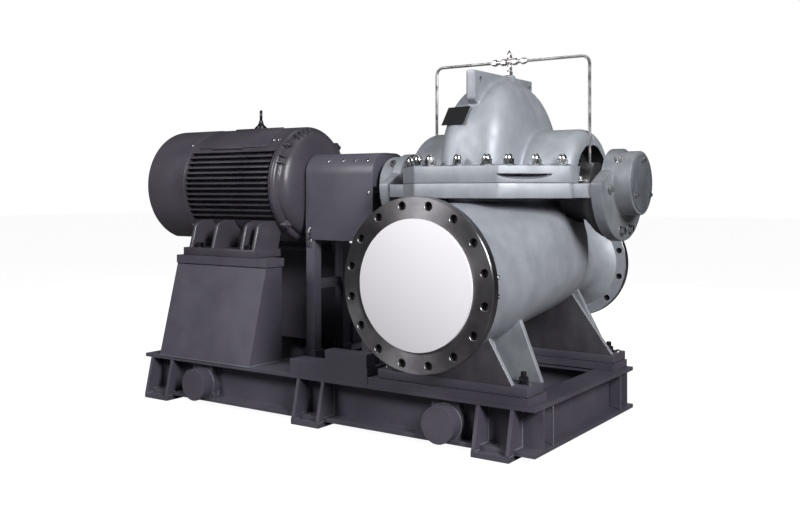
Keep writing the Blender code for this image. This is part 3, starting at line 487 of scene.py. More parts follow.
def floor_board(name):
    """The floor: matt white board with a faint tooth, which looks brighter than it lights."""
    material, tree, shader, place = new_finish(name)
    seen = add_node(tree, "ShaderNodeLightPath", {}, "Is Camera Ray")
    tooth = add_node(tree, "ShaderNodeTexNoise", {"Vector": place, "Scale": 1000 / 40, "Detail": 2.0})
    wire(tree, shader, {
        "Base Color": linear("#6A686A"),
        "Roughness": 0.9,
        "Specular IOR Level": 0.0,
        "Normal": add_node(tree, "ShaderNodeBump", {"Height": tooth, "Distance": 0.00005}),
        "Emission Color": linear("#FFFFFF"),
        "Emission Strength": add_node(tree, "ShaderNodeMath", {0: seen, 1: 0.96}, operation="MULTIPLY"),
    })
    return material


# Slate paint: dull and a little rippled on the frame, glossier and pebbled on the cast motor, smooth on
# the guard's sheet, and paler and glossier on the weld beads
FRAME_PAINT = slate_paint("frame_slate_paint", "#484551", "#53505B", 5.0, 0.10, 0.46, 2.5)
MOTOR_PAINT = slate_paint("motor_slate_paint", "#413E47", "#4D4A53", 2.6, 0.10, 0.32, 2.0)
GUARD_PAINT = slate_paint("guard_slate_paint", "#504E59", "#595762", 6.0, 0.05, 0.44, 1.5)
WELD_PAINT = slate_paint("pale_weld_bead_paint", "#5C5C64", "#70737A", 2.0, 0.20, 0.35, 1.0)
# Silver paint: bright on the casing, greyer on the brackets and covers and as painted half-shade
# between the feet's ribs, and nearly black as painted shade on the feet's outer rib faces
CASING_PAINT = silver_cast_paint("casing_silver_paint", "#9A9EA6", "#A7ABB2", 0.30, 3.0)
BRACKET_PAINT = silver_cast_paint("bracket_silver_paint", "#7C8086", "#8E9298", 0.35, 3.0)
COVER_PAINT = silver_cast_paint("cover_silver_paint", "#63666D", "#73777E", 0.35, 3.0)
# Near-black painted shade on the outer faces of the pump's feet
FOOT_SHADE_PAINT = silver_cast_paint("foot_painted_shade", "#413E44", "#4E4C52", 0.30, 3.0)
# Metal: grey lathe rings on the flanges, mirror-like acorn nuts, soft bright screws and tubes, and dark
# oiled nuts
FLANGE_STEEL = turned_flange_steel("turned_flange_steel")
CHROME = bright_metal("chromed_acorn_nuts", "#E2E4E7", 0.22, 14)
ZINC = bright_metal("zinc_plated_screws", "#C4C5C6", 0.26, 8)
STAINLESS = bright_metal("drawn_stainless", "#C9C7C8", 0.38, 40)
BLACK_STEEL = bright_metal("blackened_steel_nuts", "#4A474C", 0.35, 6)
# The flat white covers, the blank black plate, and near-black painted shade for the hollows
LAMINATE = white_laminate("white_laminate")
PLATE_BLACK = dark_finish("black_enamel_plate", "#110F13", 0.50)
# Near-black painted shade: gland pockets, bolt holes, the arms under the split flange and the fan in its
# cowl
PAINTED_SHADE = dark_finish("painted_shade_near_black", "#2A282C", 0.70)


# Mesh helpers

def plain_mesh(shape):
    """A bmesh shape as a mesh, just as it is."""
    mesh = bpy.data.meshes.new("shape")
    shape.to_mesh(mesh)
    shape.free()
    return mesh


def mesh_from(shape):
    """A closed bmesh shape as a mesh, its faces turned outwards."""
    bmesh.ops.recalc_face_normals(shape, faces=shape.faces)
    return plain_mesh(shape)


def joined(meshes):
    """Several meshes as one."""
    shape = bmesh.new()
    for mesh in meshes:
        shape.from_mesh(mesh)
    return plain_mesh(shape)


def box(first, last):
    """A block between two opposite corners, given in any order."""
    shape = bmesh.new()
    size = [abs(b - a) for a, b in zip(first, last)]
    middle = [(a + b) / 2 for a, b in zip(first, last)]
    place = Matrix.Translation(middle) @ Matrix.Diagonal((*size, 1.0))
    bmesh.ops.create_cube(shape, size=1.0, matrix=place)
    return mesh_from(shape)


def slab(outline, axis, start, end):
    """A flat outline made thick along an axis. Points are (y, z) for X, (x, z) for Y and (x, y) for Z."""
    shape = bmesh.new()
    order = {"X": (2, 0, 1), "Y": (0, 2, 1), "Z": (0, 1, 2)}[axis]
    rings = []
    for level in (start, end):
        corners = [(across, up, level) for across, up in outline]
        rings.append([shape.verts.new([corner[i] for i in order]) for corner in corners])
    for ring in rings:
        shape.faces.new(ring)
    count = len(outline)
    for i in range(count):
        k = (i + 1) % count
        shape.faces.new((rings[0][i], rings[0][k], rings[1][k], rings[1][i]))
    return mesh_from(shape)


def turned(profile, place, sides, loop=False):
    """A shape turned about its own Z axis and then placed. The profile is (height, radius).

    A profile that starts and ends on the axis gives a solid; one with a bore is closed as a loop.
    """
    shape = bmesh.new()
    rings = []
    for height, radius in profile:
        count = 1 if radius < 1e-6 else sides
        rings.append([shape.verts.new((radius * math.cos(2 * math.pi * i / sides),
                                       radius * math.sin(2 * math.pi * i / sides), height))
                      for i in range(count)])
    pairs = list(zip(rings, rings[1:]))
    if loop:
        pairs.append((rings[-1], rings[0]))
    for first, second in pairs:
        for i in range(sides):
            k = (i + 1) % sides
            corners = [first[i % len(first)], second[i % len(second)], second[k % len(second)],
                       first[k % len(first)]]
            shape.faces.new(list(dict.fromkeys(corners)))
    bmesh.ops.transform(shape, matrix=place, verts=shape.verts)
    return mesh_from(shape)


def at(x, y, z, axis="Z"):
    """A place whose own Z axis points along one of the world's."""
    return Matrix.Translation((x, y, z)) @ AXES[axis]


def on_shaft(x, sign=1):
    """A place on the shaft's line whose own Z axis points along X, or against it where sign is -1."""
    place = at(x, 0, SHAFT_Z, "X")
    return place if sign > 0 else place @ Matrix.Rotation(math.pi, 4, "Y")


def along(start, end):
    """The place of a bar from one point to another, and its length."""
    way = Vector(end) - Vector(start)
    turn = Vector((0, 0, 1)).rotation_difference(way).to_matrix().to_4x4()
    return Matrix.Translation(start) @ turn, way.length


def rod(start, end, radius, sides=48):
    """A round bar between two points."""
    place, length = along(start, end)
    return turned([(0, 0), (0, radius), (length, radius), (length, 0)], place, sides)


def shaft_rod(start_x, end_x, radius, sides=48):
    """A round bar on the shaft's line."""
    return rod((start_x, 0, SHAFT_Z), (end_x, 0, SHAFT_Z), radius, sides)


def arc(centre, radius, first, last, steps):
    """Points along an arc, its turns in degrees from the first axis."""
    turns = [math.radians(first + (last - first) * i / steps) for i in range(steps + 1)]
    return [(centre[0] + radius * math.cos(a), centre[1] + radius * math.sin(a)) for a in turns]


def round_point(radius, turn):
    """The y and z of a point round the shaft, at a turn in degrees from upright."""
    turn = math.radians(turn)
    return radius * math.sin(turn), SHAFT_Z + radius * math.cos(turn)


def set_round(mesh, turn):
    """Turn a mesh that is drawn upright, with the shaft at z 0, to its place round the shaft."""
    mesh.transform(Matrix.Translation((0, 0, SHAFT_Z)) @ Matrix.Rotation(turn, 4, "X"))
    return mesh


def ball(centre, axes, around, rings):
    """An ellipsoid with these half axes."""
    shape = bmesh.new()
    place = Matrix.Translation(centre) @ Matrix.Diagonal((*axes, 1.0))
    bmesh.ops.create_uvsphere(shape, u_segments=around, v_segments=rings, radius=1.0, matrix=place)
    return mesh_from(shape)


def edge_mesh(edges):
    """A mesh of edges, each between two points, joined where they meet, for a tree to follow."""
    shape = bmesh.new()
    for ends in edges:
        shape.edges.new([shape.verts.new(end) for end in ends])
    bmesh.ops.remove_doubles(shape, verts=shape.verts, dist=0.0001)
    return plain_mesh(shape)


def scratch(mesh):
    """An object for modifiers to work on or for a tree to repeat, until it is thrown away."""
    piece = bpy.data.objects.new("scratch", mesh)
    bpy.context.scene.collection.objects.link(piece)
    return piece


def taken(piece):
    """The plain mesh that a scratch object's modifiers make; the object is thrown away."""
    bpy.context.view_layer.update()
    seen = piece.evaluated_get(bpy.context.evaluated_depsgraph_get())
    mesh = bpy.data.meshes.new_from_object(seen)
    bpy.data.objects.remove(piece)
    return mesh


def boolean(mesh, others, operation):
    """A mesh with others joined to it or cut from it."""
    piece = scratch(mesh)
    tools = [scratch(other) for other in others]
    for tool in tools:
        step = piece.modifiers.new("step", "BOOLEAN")
        step.object = tool
        step.operation = operation
        step.solver = "MANIFOLD"
    result = taken(piece)
    for tool in tools:
        bpy.data.objects.remove(tool)
    return result


def melted(meshes, voxel, rounds):
    """Several solids grown into one skin with soft corners between them, as a casting has."""
    piece = scratch(joined(meshes))
    skin = piece.modifiers.new("skin", "REMESH")
    skin.mode = "VOXEL"
    skin.voxel_size = voxel
    soften = piece.modifiers.new("soften", "SMOOTH")
    soften.factor = 0.5
    soften.iterations = rounds
    return taken(piece)


def softened(mesh, width, segments=2, angle=30):
    """A mesh with its sharp edges rounded."""
    piece = scratch(mesh)
    edges = piece.modifiers.new("edges", "BEVEL")
    edges.width = width
    edges.segments = segments
    edges.limit_method = "ANGLE"
    edges.angle_limit = math.radians(angle)
    return taken(piece)


def repaint(mesh, inside, finish=1):
    """Give another of a piece's finishes to the faces whose middle and normal pass a test."""
    for face in mesh.polygons:
        if inside(face.center, face.normal):
            face.material_index = finish


def in_pocket(middle, normal):
    """True on the walls and floor of the two gland pockets, which get painted shade."""
    away = math.hypot(middle.y, middle.z - SHAFT_Z)
    return abs(middle.x - PUMP_X) > POCKET_X - 0.001 and away < HUB_POCKET_R + 0.0015


def finished(name, mesh, finish, nodes=(), angle=35):
    """A finished piece: named, painted, on the set's body, in place of the nodes it stands for."""
    piece = bpy.data.objects.new(name, mesh)
    bpy.context.scene.collection.objects.link(piece)
    mesh.name = name
    finishes = finish if isinstance(finish, tuple) else (finish,)
    indices = [face.material_index for face in mesh.polygons]
    mesh.materials.clear()
    for material in finishes:
        mesh.materials.append(material)
    mesh.polygons.foreach_set("material_index", [min(i, len(finishes) - 1) for i in indices])
    mesh.polygons.foreach_set("use_smooth", [True] * len(mesh.polygons))
    mesh.set_sharp_from_angle(angle=math.radians(angle))
    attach(piece, "root")
    if nodes:
        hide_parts(*nodes)
    return piece


# Fasteners, beads and wires, made by Geometry Nodes

def named_inputs(name, *inputs):
    """A Geometry Nodes tree with these inputs, each a name and a kind of socket."""
    tree = bpy.data.node_groups.new(name, "GeometryNodeTree")
    for label, kind in (("Geometry", "Geometry"), *inputs):
        tree.interface.new_socket(label, in_out="INPUT", socket_type=f"NodeSocket{kind}")
    tree.interface.new_socket("Geometry", in_out="OUTPUT", socket_type="NodeSocketGeometry")
    given = add_node(tree, "NodeGroupInput", {}).node.outputs
    return tree, given


def end_tree(tree, shape, finish):
    """The last nodes of every tree: real geometry, in its finish."""
    real = add_node(tree, "GeometryNodeRealizeInstances", {0: shape})
    done = add_node(tree, "GeometryNodeSetMaterial", {"Geometry": real, "Material": finish})
    add_node(tree, "NodeGroupOutput", {0: done})
    return tree


def fastener_rows_tree():
    """The tree that puts a fastener on every point, facing the way the point's arrow says."""
    tree, given = named_inputs("fastener_rows", ("Fastener", "Object"), ("Across flats", "Float"),
                               ("Turn seed", "Int"), ("Finish", "Material"))
    points = add_node(tree, "GeometryNodeMeshToPoints", {"Mesh": given["Geometry"]})
    arrow = add_node(tree, "GeometryNodeInputNamedAttribute", {"Name": "facing"}, data_type="FLOAT_VECTOR")
    facing = add_node(tree, "FunctionNodeAlignRotationToVector", {"Vector": arrow}, axis="Z")
    turn = add_node(tree, "FunctionNodeRandomValue", {2: 0.0, 3: math.tau, "Seed": given["Turn seed"]}, 1,
                    data_type="FLOAT")
    wrench = add_node(tree, "FunctionNodeAxisAngleToRotation", {"Axis": (0.0, 0.0, 1.0), "Angle": turn})
    stance = add_node(tree, "FunctionNodeRotateRotation", {0: facing, 1: wrench}, rotation_space="LOCAL")
    tool = add_node(tree, "GeometryNodeObjectInfo", {"Object": given["Fastener"]}, "Geometry")
    rows = add_node(tree, "GeometryNodeInstanceOnPoints", {
        "Points": points, "Instance": tool, "Rotation": stance, "Scale": given["Across flats"]})
    return end_tree(tree, rows, given["Finish"])


def weld_bead_tree():
    """The tree that lays a rippled bead of weld along every edge."""
    tree, given = named_inputs("weld_bead", ("Bead radius", "Float"), ("Ripple", "Float"),
                               ("Ripple seed", "Int"), ("Finish", "Material"))
    path = add_node(tree, "GeometryNodeMeshToCurve", {"Mesh": given["Geometry"]})
    steps = add_node(tree, "GeometryNodeResampleCurve", {"Curve": path, "Length": given["Ripple"]},
                     mode="LENGTH")
    uneven = add_node(tree, "FunctionNodeRandomValue", {2: 0.75, 3: 1.2, "Seed": given["Ripple seed"]}, 1,
                      data_type="FLOAT")
    swollen = add_node(tree, "GeometryNodeSetCurveRadius", {"Curve": steps, "Radius": uneven})
    section = add_node(tree, "GeometryNodeCurvePrimitiveCircle", {"Resolution": 8,
                                                                   "Radius": given["Bead radius"]})
    bead = add_node(tree, "GeometryNodeCurveToMesh", {"Curve": swollen, "Profile Curve": section,
                                                       "Fill Caps": True})
    return end_tree(tree, bead, given["Finish"])


def wire_rings_tree():
    """The tree that makes round wire of every edge."""
    tree, given = named_inputs("wire_rings", ("Wire radius", "Float"), ("Finish", "Material"))
    path = add_node(tree, "GeometryNodeMeshToCurve", {"Mesh": given["Geometry"]})
    section = add_node(tree, "GeometryNodeCurvePrimitiveCircle", {"Resolution": 8,
                                                                   "Radius": given["Wire radius"]})
    wires = add_node(tree, "GeometryNodeCurveToMesh", {"Curve": path, "Profile Curve": section,
                                                        "Fill Caps": True})
    return end_tree(tree, wires, given["Finish"])


def run_tree(host, tree, values):
    """Set a tree's named inputs on an object and turn the result into plain mesh."""
    step = host.modifiers.new("rows", "NODES")
    step.node_group = tree
    named = {item.name: item.identifier for item in tree.interface.items_tree
             if item.in_out == "INPUT"}
    for name, value in values.items():
        step[named[name]] = value
    return taken(host)


FASTENER_ROWS = fastener_rows_tree()
WELD_BEAD = weld_bead_tree()
WIRE_RINGS = wire_rings_tree()


def hex_prism(low, high, radius=0.577, chamfer=0.06):
    """A hexagon bar with its corners turned off at the top."""
    return turned([(low, 0), (low, radius), (high - chamfer, radius), (high, radius * 0.88), (high, 0)],
                  Matrix.Identity(4), 6)


def acorn_nut():
    """A domed nut on its washer, one unit across flats."""
    washer = turned([(0, 0), (0, 0.74), (0.08, 0.78), (0.12, 0.74), (0.12, 0)], Matrix.Identity(4), 24)
    crown = [(0.66 + 0.52 * up, 0.44 * across) for across, up in arc((0, 0), 1.0, 0, 75, 5)]
    dome = [(0.60, 0), (0.60, 0.44), *crown, (1.18, 0)]
    return joined([washer, hex_prism(0.12, 0.66), turned(dome, Matrix.Identity(4), 24)])


def hex_bolt():
    """A bolt's head on its washer, one unit across flats."""
    washer = turned([(0, 0), (0, 0.72), (0.10, 0.72), (0.10, 0)], Matrix.Identity(4), 24)
    return joined([washer, hex_prism(0.10, 0.72)])


def stud_nut():
    """A nut on a stud that stands through it, one unit across flats."""
    stud = turned([(0, 0), (0, 0.32), (1.22, 0.32), (1.30, 0.26), (1.30, 0)], Matrix.Identity(4), 16)
    return joined([hex_bolt(), stud])


def pan_screw():
    """A low round screw head with a cross slot's shadow, one unit across."""
    head = turned([(0, 0), (0, 0.50), (0.16, 0.49), (0.27, 0.38), (0.32, 0.20), (0.33, 0)],
                  Matrix.Identity(4), 20)
    slots = [box((-0.26, -0.05, 0.20), (0.26, 0.05, 0.5)), box((-0.05, -0.26, 0.20), (0.05, 0.26, 0.5))]
    return boolean(head, slots, "DIFFERENCE")


def socket_plug():
    """A sunk plug: a turned rim round a dark hexagon hole, one unit across."""
    rim = turned([(0, 0), (0, 0.50), (0.10, 0.50), (0.16, 0.44), (0.16, 0)], Matrix.Identity(4), 24)
    return boolean(rim, [hex_prism(0.02, 0.5, 0.30, 0.0)], "DIFFERENCE")


TOOLS = {kind: scratch(shape()) for kind, shape in (
    ("socket", socket_plug), ("acorn", acorn_nut), ("bolt", hex_bolt), ("stud", stud_nut),
    ("pan", pan_screw))}


def fastener_row(name, kind, size, spots, finish, seed):
    """Fasteners of one kind and size, at (place, direction) spots."""
    mesh = bpy.data.meshes.new("spots")
    mesh.from_pydata([place for place, facing in spots], [], [])
    arrows = mesh.attributes.new("facing", "FLOAT_VECTOR", "POINT")
    for i, (place, facing) in enumerate(spots):
        arrows.data[i].vector = facing
    result = run_tree(scratch(mesh), FASTENER_ROWS, {
        "Fastener": TOOLS[kind], "Across flats": size, "Turn seed": seed, "Finish": finish})
    return finished(name, result, finish)


# Pump castings

def swell(direction):
    """How far the dome reaches in a direction, for axes of length 1."""
    x, y, z = map(abs, direction)
    profile, rear, front = DOME_FULLNESS
    power = rear + (front - rear) * max(0.0, -direction[1])
    section = (y ** profile + z ** profile) ** (power / profile)
    return (section + x ** power) ** (-1 / power)


def dome_mesh():
    """The dome: a ball pushed out to its fuller shape."""
    mesh = ball((0, 0, 0), (1, 1, 1), 128, 64)
    for vertex in mesh.vertices:
        reach = swell(vertex.co)
        vertex.co = [c + a * u * reach for c, a, u in zip(DOME_CENTRE, DOME_AXES, vertex.co)]
    return mesh


def split_outline(shrink, rounding):
    """The split flange from above: a long eight-sided plate with rounded corners."""
    (front_x, front_y), (end_x, end_y) = SPLIT_FRONT, SPLIT_END
    corners = [(end_x, -end_y), (end_x, end_y), (front_x, front_y), (-front_x, front_y),
               (-end_x, end_y), (-end_x, -end_y), (-front_x, -front_y), (front_x, -front_y)]
    corners = [Vector(corner) * (1 - shrink / SPLIT_REACH) for corner in corners]
    points = []
    for i, corner in enumerate(corners):
        back = (corners[i - 1] - corner).normalized() * rounding
        forth = (corners[(i + 1) % len(corners)] - corner).normalized() * rounding
        for k in range(CORNER_STEPS + 1):
            t = k / CORNER_STEPS
            points.append(corner + back * (1 - t) ** 2 + forth * t ** 2)
    return [(PUMP_X + p.x, p.y) for p in points]


def shaft_way():
    """The cutter that clears the shaft right through the casing."""
    return shaft_rod(PUMP_X - CUTTER_REACH, PUMP_X + CUTTER_REACH, CAST_BORE_R)


def pockets(radius, sides):
    """Cutters for the open end of each hub or arm, where the glands are."""
    return [shaft_rod(PUMP_X + sign * POCKET_X, PUMP_X + sign * POCKET_END_X, radius, sides)
            for sign in (-1, 1)]


def cast_piece(name, mesh, node, angle=35):
    """A piece of the casing in silver paint, with painted shade inside the gland pockets."""
    repaint(mesh, in_pocket)
    finished(name, mesh, (CASING_PAINT, PAINTED_SHADE), [node], angle)


def wide_block(low, high):
    """A block between two heights, wider than the casing, to cut away what lies in it."""
    return box((PUMP_X - CUTTER_REACH, -CUTTER_REACH, low), (PUMP_X + CUTTER_REACH, CUTTER_REACH, high))


def tube_slots():
    """Cutters for the slots in the hubs' tops, where the flush tubes go in."""
    return [box((PUMP_X + sign * TUBE_SLOT_X[0], TUBE_SLOT_Y[0], TUBE_SLOT_Z[0]),
                (PUMP_X + sign * TUBE_SLOT_X[1], TUBE_SLOT_Y[1], TUBE_SLOT_Z[1])) for sign in (-1, 1)]


def jacking_scoop():
    """The half-round scoop under the top edge of one slanting side of the upper split flange."""
    corner = Vector((SPLIT_FRONT[0], -SPLIT_FRONT[1], 0))
    run = Vector((SPLIT_END[0], -SPLIT_END[1], 0)) - corner
    middle = Vector((PUMP_X, 0, SCOOP_TOP)) + corner + run * SCOOP_SHARE
    turn = Matrix.Rotation(math.atan2(run.y, run.x), 4, "Z")
    place = Matrix.Translation(middle) @ turn @ Matrix.Diagonal((*SCOOP_AXES, 1.0))
    shape = bmesh.new()
    bmesh.ops.create_uvsphere(shape, u_segments=64, v_segments=32, radius=1.0, matrix=place)
    bmesh.ops.bisect_plane(shape, geom=[*shape.verts, *shape.edges, *shape.faces], plane_co=middle,
                           plane_no=(0, 0, 1), clear_outer=True)
    bmesh.ops.holes_fill(shape, edges=[edge for edge in shape.edges if edge.is_boundary])
    return mesh_from(shape)


def upper_casting():
    """Dome, hubs, rib and crest boss grown into one skin, standing on the crisp split flange."""
    curve = [(HUB_ROUND_X + (HUB_END_X - HUB_ROUND_X) * x, HUB_END_R + (HUB_R - HUB_END_R) * y)
             for x, y in arc((0, 0), 1.0, 90, 0, 12)]
    profile = [(-HUB_END_X, 0.0)] + [(-x, r) for x, r in reversed(curve)] + curve + [(HUB_END_X, 0.0)]
    hubs = turned(profile, on_shaft(PUMP_X), 128)
    rib = slab(RIB_OUTLINE, "X", PUMP_X - RIB_T / 2, PUMP_X + RIB_T / 2)
    boss = rod((PUMP_X, CREST[0], CREST_LOW), (PUMP_X, CREST[0], CREST[1] - 0.001), CREST_R)
    flange = slab(split_outline(*SPLIT_CORE), "Z", SHAFT_Z + 0.010, SPLIT_HIGH - 0.0005)
    skin = melted([dome_mesh(), hubs, rib, boss, flange], UPPER_VOXEL, 6)
    below = wide_block(SHAFT_Z - CUTTER_REACH, SHAFT_Z + 0.020)
    holes = [rod((PUMP_X - RIB_T, y, RIB_HOLE_Z), (PUMP_X + RIB_T, y, RIB_HOLE_Z), RIB_HOLE_R, 32)
             for y in RIB_HOLES_Y]
    hollows = [shaft_way(), *pockets(HUB_POCKET_R, 96)]
    skin = boolean(skin, [below, *hollows, *holes, *tube_slots(), jacking_scoop()], "DIFFERENCE")
    cast_piece("casing_dome", skin, "casing_upper", 40)
    plate = slab(split_outline(0, SPLIT_ROUND), "Z", SPLIT_SEAM[1], SPLIT_HIGH)
    plate = softened(boolean(plate, hollows, "DIFFERENCE"), CAST_EDGE)
    plate = boolean(plate, [jacking_scoop()], "DIFFERENCE")
    cast_piece("split_flange_upper", plate, "casing_upper")


def smooth_step(stations, share):
    """A smooth value between two of four neighbouring stations."""
    before, first, last, after = stations
    return 0.5 * (2 * first + (last - before) * share
                  + (2 * before - 5 * first + 4 * last - after) * share ** 2
                  + (3 * first - before - 3 * last + after) * share ** 3)


def barrel():
    """The lower casing's barrel: ellipses of changing size and fullness, joined along Y."""
    last = len(BODY) - 1
    rings = []
    for i in range(last):
        four = [BODY[max(i - 1, 0)], BODY[i], BODY[i + 1], BODY[min(i + 2, last)]]
        for k in range(RING_STEPS):
            rings.append([smooth_step(values, k / RING_STEPS) for values in zip(*four)])
    rings.append(BODY[last])
    shape = bmesh.new()
    rows = []
    for y, half_x, half_z, centre_z, fullness in rings:
        row = []
        for i in range(BODY_SIDES):
            turn = math.tau * i / BODY_SIDES
            c, s = math.cos(turn), math.sin(turn)
            power = 2 / fullness if s > 0 else 1.0
            row.append(shape.verts.new((PUMP_X + half_x * math.copysign(abs(c) ** power, c), y,
                                        centre_z + half_z * math.copysign(abs(s) ** power, s))))
        rows.append(row)
    for row, after in zip(rows, rows[1:]):
        for i in range(BODY_SIDES):
            k = (i + 1) % BODY_SIDES
            shape.faces.new((row[i], row[k], after[k], after[i]))
    shape.faces.new(rows[0])
    shape.faces.new(rows[-1])
    return mesh_from(shape)


def pump_foot(sign, thinner=0.0):
    """One foot of the casing: two leaning ribs and the web between them."""
    near, far = FOOT_Y
    ribs = ((OUTER_RIBS[sign], far - FOOT_RIB_T + thinner, far - thinner),
            (INNER_RIBS[sign], near + thinner, near + FOOT_RIB_T - thinner),
            (MIDDLE_WEB, near + 0.010, far - 0.010))
    shapes = []
    for (top_x, top_z, bottom_x), start, end in ribs:
        top_x, bottom_x = top_x - thinner, bottom_x - thinner
        half = [(bottom_x, FOOT_PAD_TOP - 0.003), (bottom_x, FOOT_PAD_TOP + 0.002), (top_x, top_z)]
        outline = half + [(-x, z) for x, z in reversed(half)]
        shapes.append(slab([(PUMP_X + x, z) for x, z in outline], "Y", sign * start, sign * end))
    return shapes


def casing_body(hollows):
    """Barrel, volute, lugs and foot ribs grown into one skin under the split."""
    lugs = [rod((PUMP_X + sign * LUG_X[0], LUG_Y, SPLIT_LOW), (PUMP_X + sign * LUG_X[1], LUG_Y, LUG_LOW),
                LUG_R, 32) for sign in (-1, 1)]
    volute = ball((PUMP_X, 0, SHAFT_Z), LOWER_VOLUTE, 96, 48)
    flange = slab(split_outline(*SPLIT_CORE), "Z", SPLIT_LOW + 0.0005, SHAFT_Z + 0.02)
    feet = pump_foot(-1, FOOT_CORE_IN) + pump_foot(1, FOOT_CORE_IN)
    skin = melted([barrel(), volute, flange, *lugs, *feet], LOWER_VOXEL, 5)
    above = wide_block(SHAFT_Z - 0.002, SHAFT_Z + CUTTER_REACH)
    below = wide_block(0.1, FOOT_PAD_TOP - 0.010)
    skin = boolean(skin, [above, below, *hollows], "DIFFERENCE")
    cast_piece("casing_body", skin, "casing_lower", 40)


def bearing_arm(place, sign, hollows):
    """The cone from the barrel to a bearing bracket, near-black as painted shade under the split flange,
    and the crisp ledge over it.
    """
    end = ARM_X - POCKET_X + ARM_BACK
    rim = SPLIT_END[1] - 0.007
    arm = turned([(0, CAST_BORE_R), (0, ARM_R), (end - 0.110, ARM_R), (end - 0.085, ARM_R + 0.010),
                  (end - 0.040, rim - 0.012), (end - 0.024, rim - 0.003), (end - 0.020, rim),
                  (end, rim), (end, POCKET_R), (ARM_BACK, POCKET_R), (ARM_BACK, CAST_BORE_R)],
                 on_shaft(PUMP_X + sign * (POCKET_X - ARM_BACK), sign), 96, True)
    arm = boolean(arm, [wide_block(SHAFT_Z - 0.002, SHAFT_Z + CUTTER_REACH)], "DIFFERENCE")
    # The whole arm is near-black: painted shade for the shadow under the flange and the bracket.
    finished(f"bearing_arm_{place}", arm, PAINTED_SHADE, ["casing_lower"])
    ledge = box((PUMP_X + sign * (SPLIT_END[0] - 0.010), -rim - 0.001, SPLIT_LOW + 0.001),
                (PUMP_X + sign * ARM_X, rim + 0.001, SHAFT_Z - 0.0012))
    ledge = softened(boolean(ledge, hollows, "DIFFERENCE"), CAST_EDGE)
    cast_piece(f"bearing_ledge_{place}", ledge, "casing_lower")


def between_ribs(middle, normal):
    """True on the web and the inner faces between a foot's two ribs, which get a greyer silver as painted
    half-shade.
    """
    return FOOT_Y[0] + 0.004 < abs(middle.y) < FOOT_Y[1] - 0.004


def rib_edge(middle, normal):
    """True on the narrow edges of a foot's two ribs."""
    on_rib = abs(middle.y) < FOOT_Y[0] + FOOT_RIB_T or abs(middle.y) > FOOT_Y[1] - FOOT_RIB_T
    return on_rib and abs(normal.y) < 0.8


def lower_casting():
    """The lower casing: body, crisp split flange, arms, and feet on their pads."""
    wells = pockets(POCKET_R, 64)
    casing_body([*wells, shaft_way()])
    plate = slab(split_outline(0, SPLIT_ROUND), "Z", SPLIT_LOW, SPLIT_SEAM[0])
    plate = softened(boolean(plate, [*wells, shaft_way()], "DIFFERENCE"), CAST_EDGE)
    cast_piece("split_flange_lower", plate, "casing_lower")
    for place, sign in (("drive", -1), ("free", 1)):
        bearing_arm(place, sign, wells)
    near, far = FOOT_Y
    for place, sign in (("front", -1), ("rear", 1)):
        ribs = joined([softened(rib, CAST_EDGE) for rib in pump_foot(sign)])
        # Painted shade: near-black on each foot's outer rib faces, greyer silver between the ribs, casing
        # silver only on the narrow edges.
        repaint(ribs, between_ribs)
        repaint(ribs, rib_edge, 2)
        finishes = (FOOT_SHADE_PAINT, BRACKET_PAINT, CASING_PAINT)
        finished(f"pump_foot_ribs_{place}", ribs, finishes)
        pad = box((PUMP_X - FOOT_PAD_X, sign * near, RAIL_TOP),
                  (PUMP_X + FOOT_PAD_X, sign * far, FOOT_PAD_TOP))
        finished(f"pump_foot_pad_{place}", softened(pad, 0.004), FRAME_PAINT)


def bolt_holes(place, thick, count, pitch, hole):
    """Cutters for a flange's blind holes from both faces, countersunk in front."""
    wide = hole + HOLE_CHAMFER
    cutters = []
    for i in range(count):
        turn = math.tau * (i + 0.5) / count
        spot = place @ Matrix.Translation((pitch * math.sin(turn), pitch * math.cos(turn), 0))
        back = [(-0.01, 0), (-0.01, hole), (thick * 0.4, hole), (thick * 0.4, 0)]
        front = [(thick * 0.5, 0), (thick * 0.5, hole), (thick - 0.0018, hole), (thick + 0.001, wide),
                 (thick + 0.01, wide), (thick + 0.01, 0)]
        cutters += [turned(back, spot, 32), turned(front, spot, 32)]
    return cutters


def nozzle(name, sizes):
    """A turned flange with countersunk bolt holes, and the blank cover in its seat."""
    sign, radius, thick, count, pitch, hole, cover = sizes
    place = at(PUMP_X, sign * (FACE_Y - thick), NOZZLE_Z, "Y")
    if sign < 0:
        place = place @ Matrix.Rotation(math.pi, 4, "X")
    profile = [(0, NOZZLE_BORE), (0, radius - 0.002), (0.002, radius), (thick - 0.003, radius),
               (thick, radius - 0.003), (thick, cover + 0.012), (thick, cover + 0.001),
               (thick - COVER_SEAT, cover + 0.0003), (thick - COVER_SEAT, NOZZLE_BORE)]
    holes = bolt_holes(place, thick, count, pitch, hole)
    flange = boolean(turned(profile, place, 160, True), holes, "DIFFERENCE")

    def in_hole(middle, normal):
        """True on the walls and floors of the bolt holes, which get painted shade."""
        away = math.hypot(middle.x - PUMP_X, middle.z - NOZZLE_Z)
        turn = math.atan2(middle.x - PUMP_X, middle.z - NOZZLE_Z) / (math.tau / count) % 1.0 - 0.5
        nearness = math.hypot(away - pitch, turn * math.tau / count * pitch)
        sunk = FACE_Y - thick + 0.001 < sign * middle.y < FACE_Y - 0.003
        return nearness < hole + 0.0004 and (abs(normal.y) < 0.3 or sunk)

    # The bolt holes' walls and floors get near-black painted shade.
    repaint(flange, in_hole)
    repaint(flange, lambda middle, normal: sign * normal.y < -0.9 and not in_hole(middle, normal), 2)
    finished(f"{name}_flange", flange, (FLANGE_STEEL, PAINTED_SHADE, CASING_PAINT))
    front = thick + COVER_Y - FACE_Y
    disc = turned([(thick - 0.0005, 0), (thick - 0.0005, cover), (front - 0.002, cover),
                   (front - 0.0006, cover - 0.0006), (front, cover - 0.002), (front, 0)], place, 160)
    finished(f"{name}_blank_cover", disc, LAMINATE, [f"{name}_cover"])


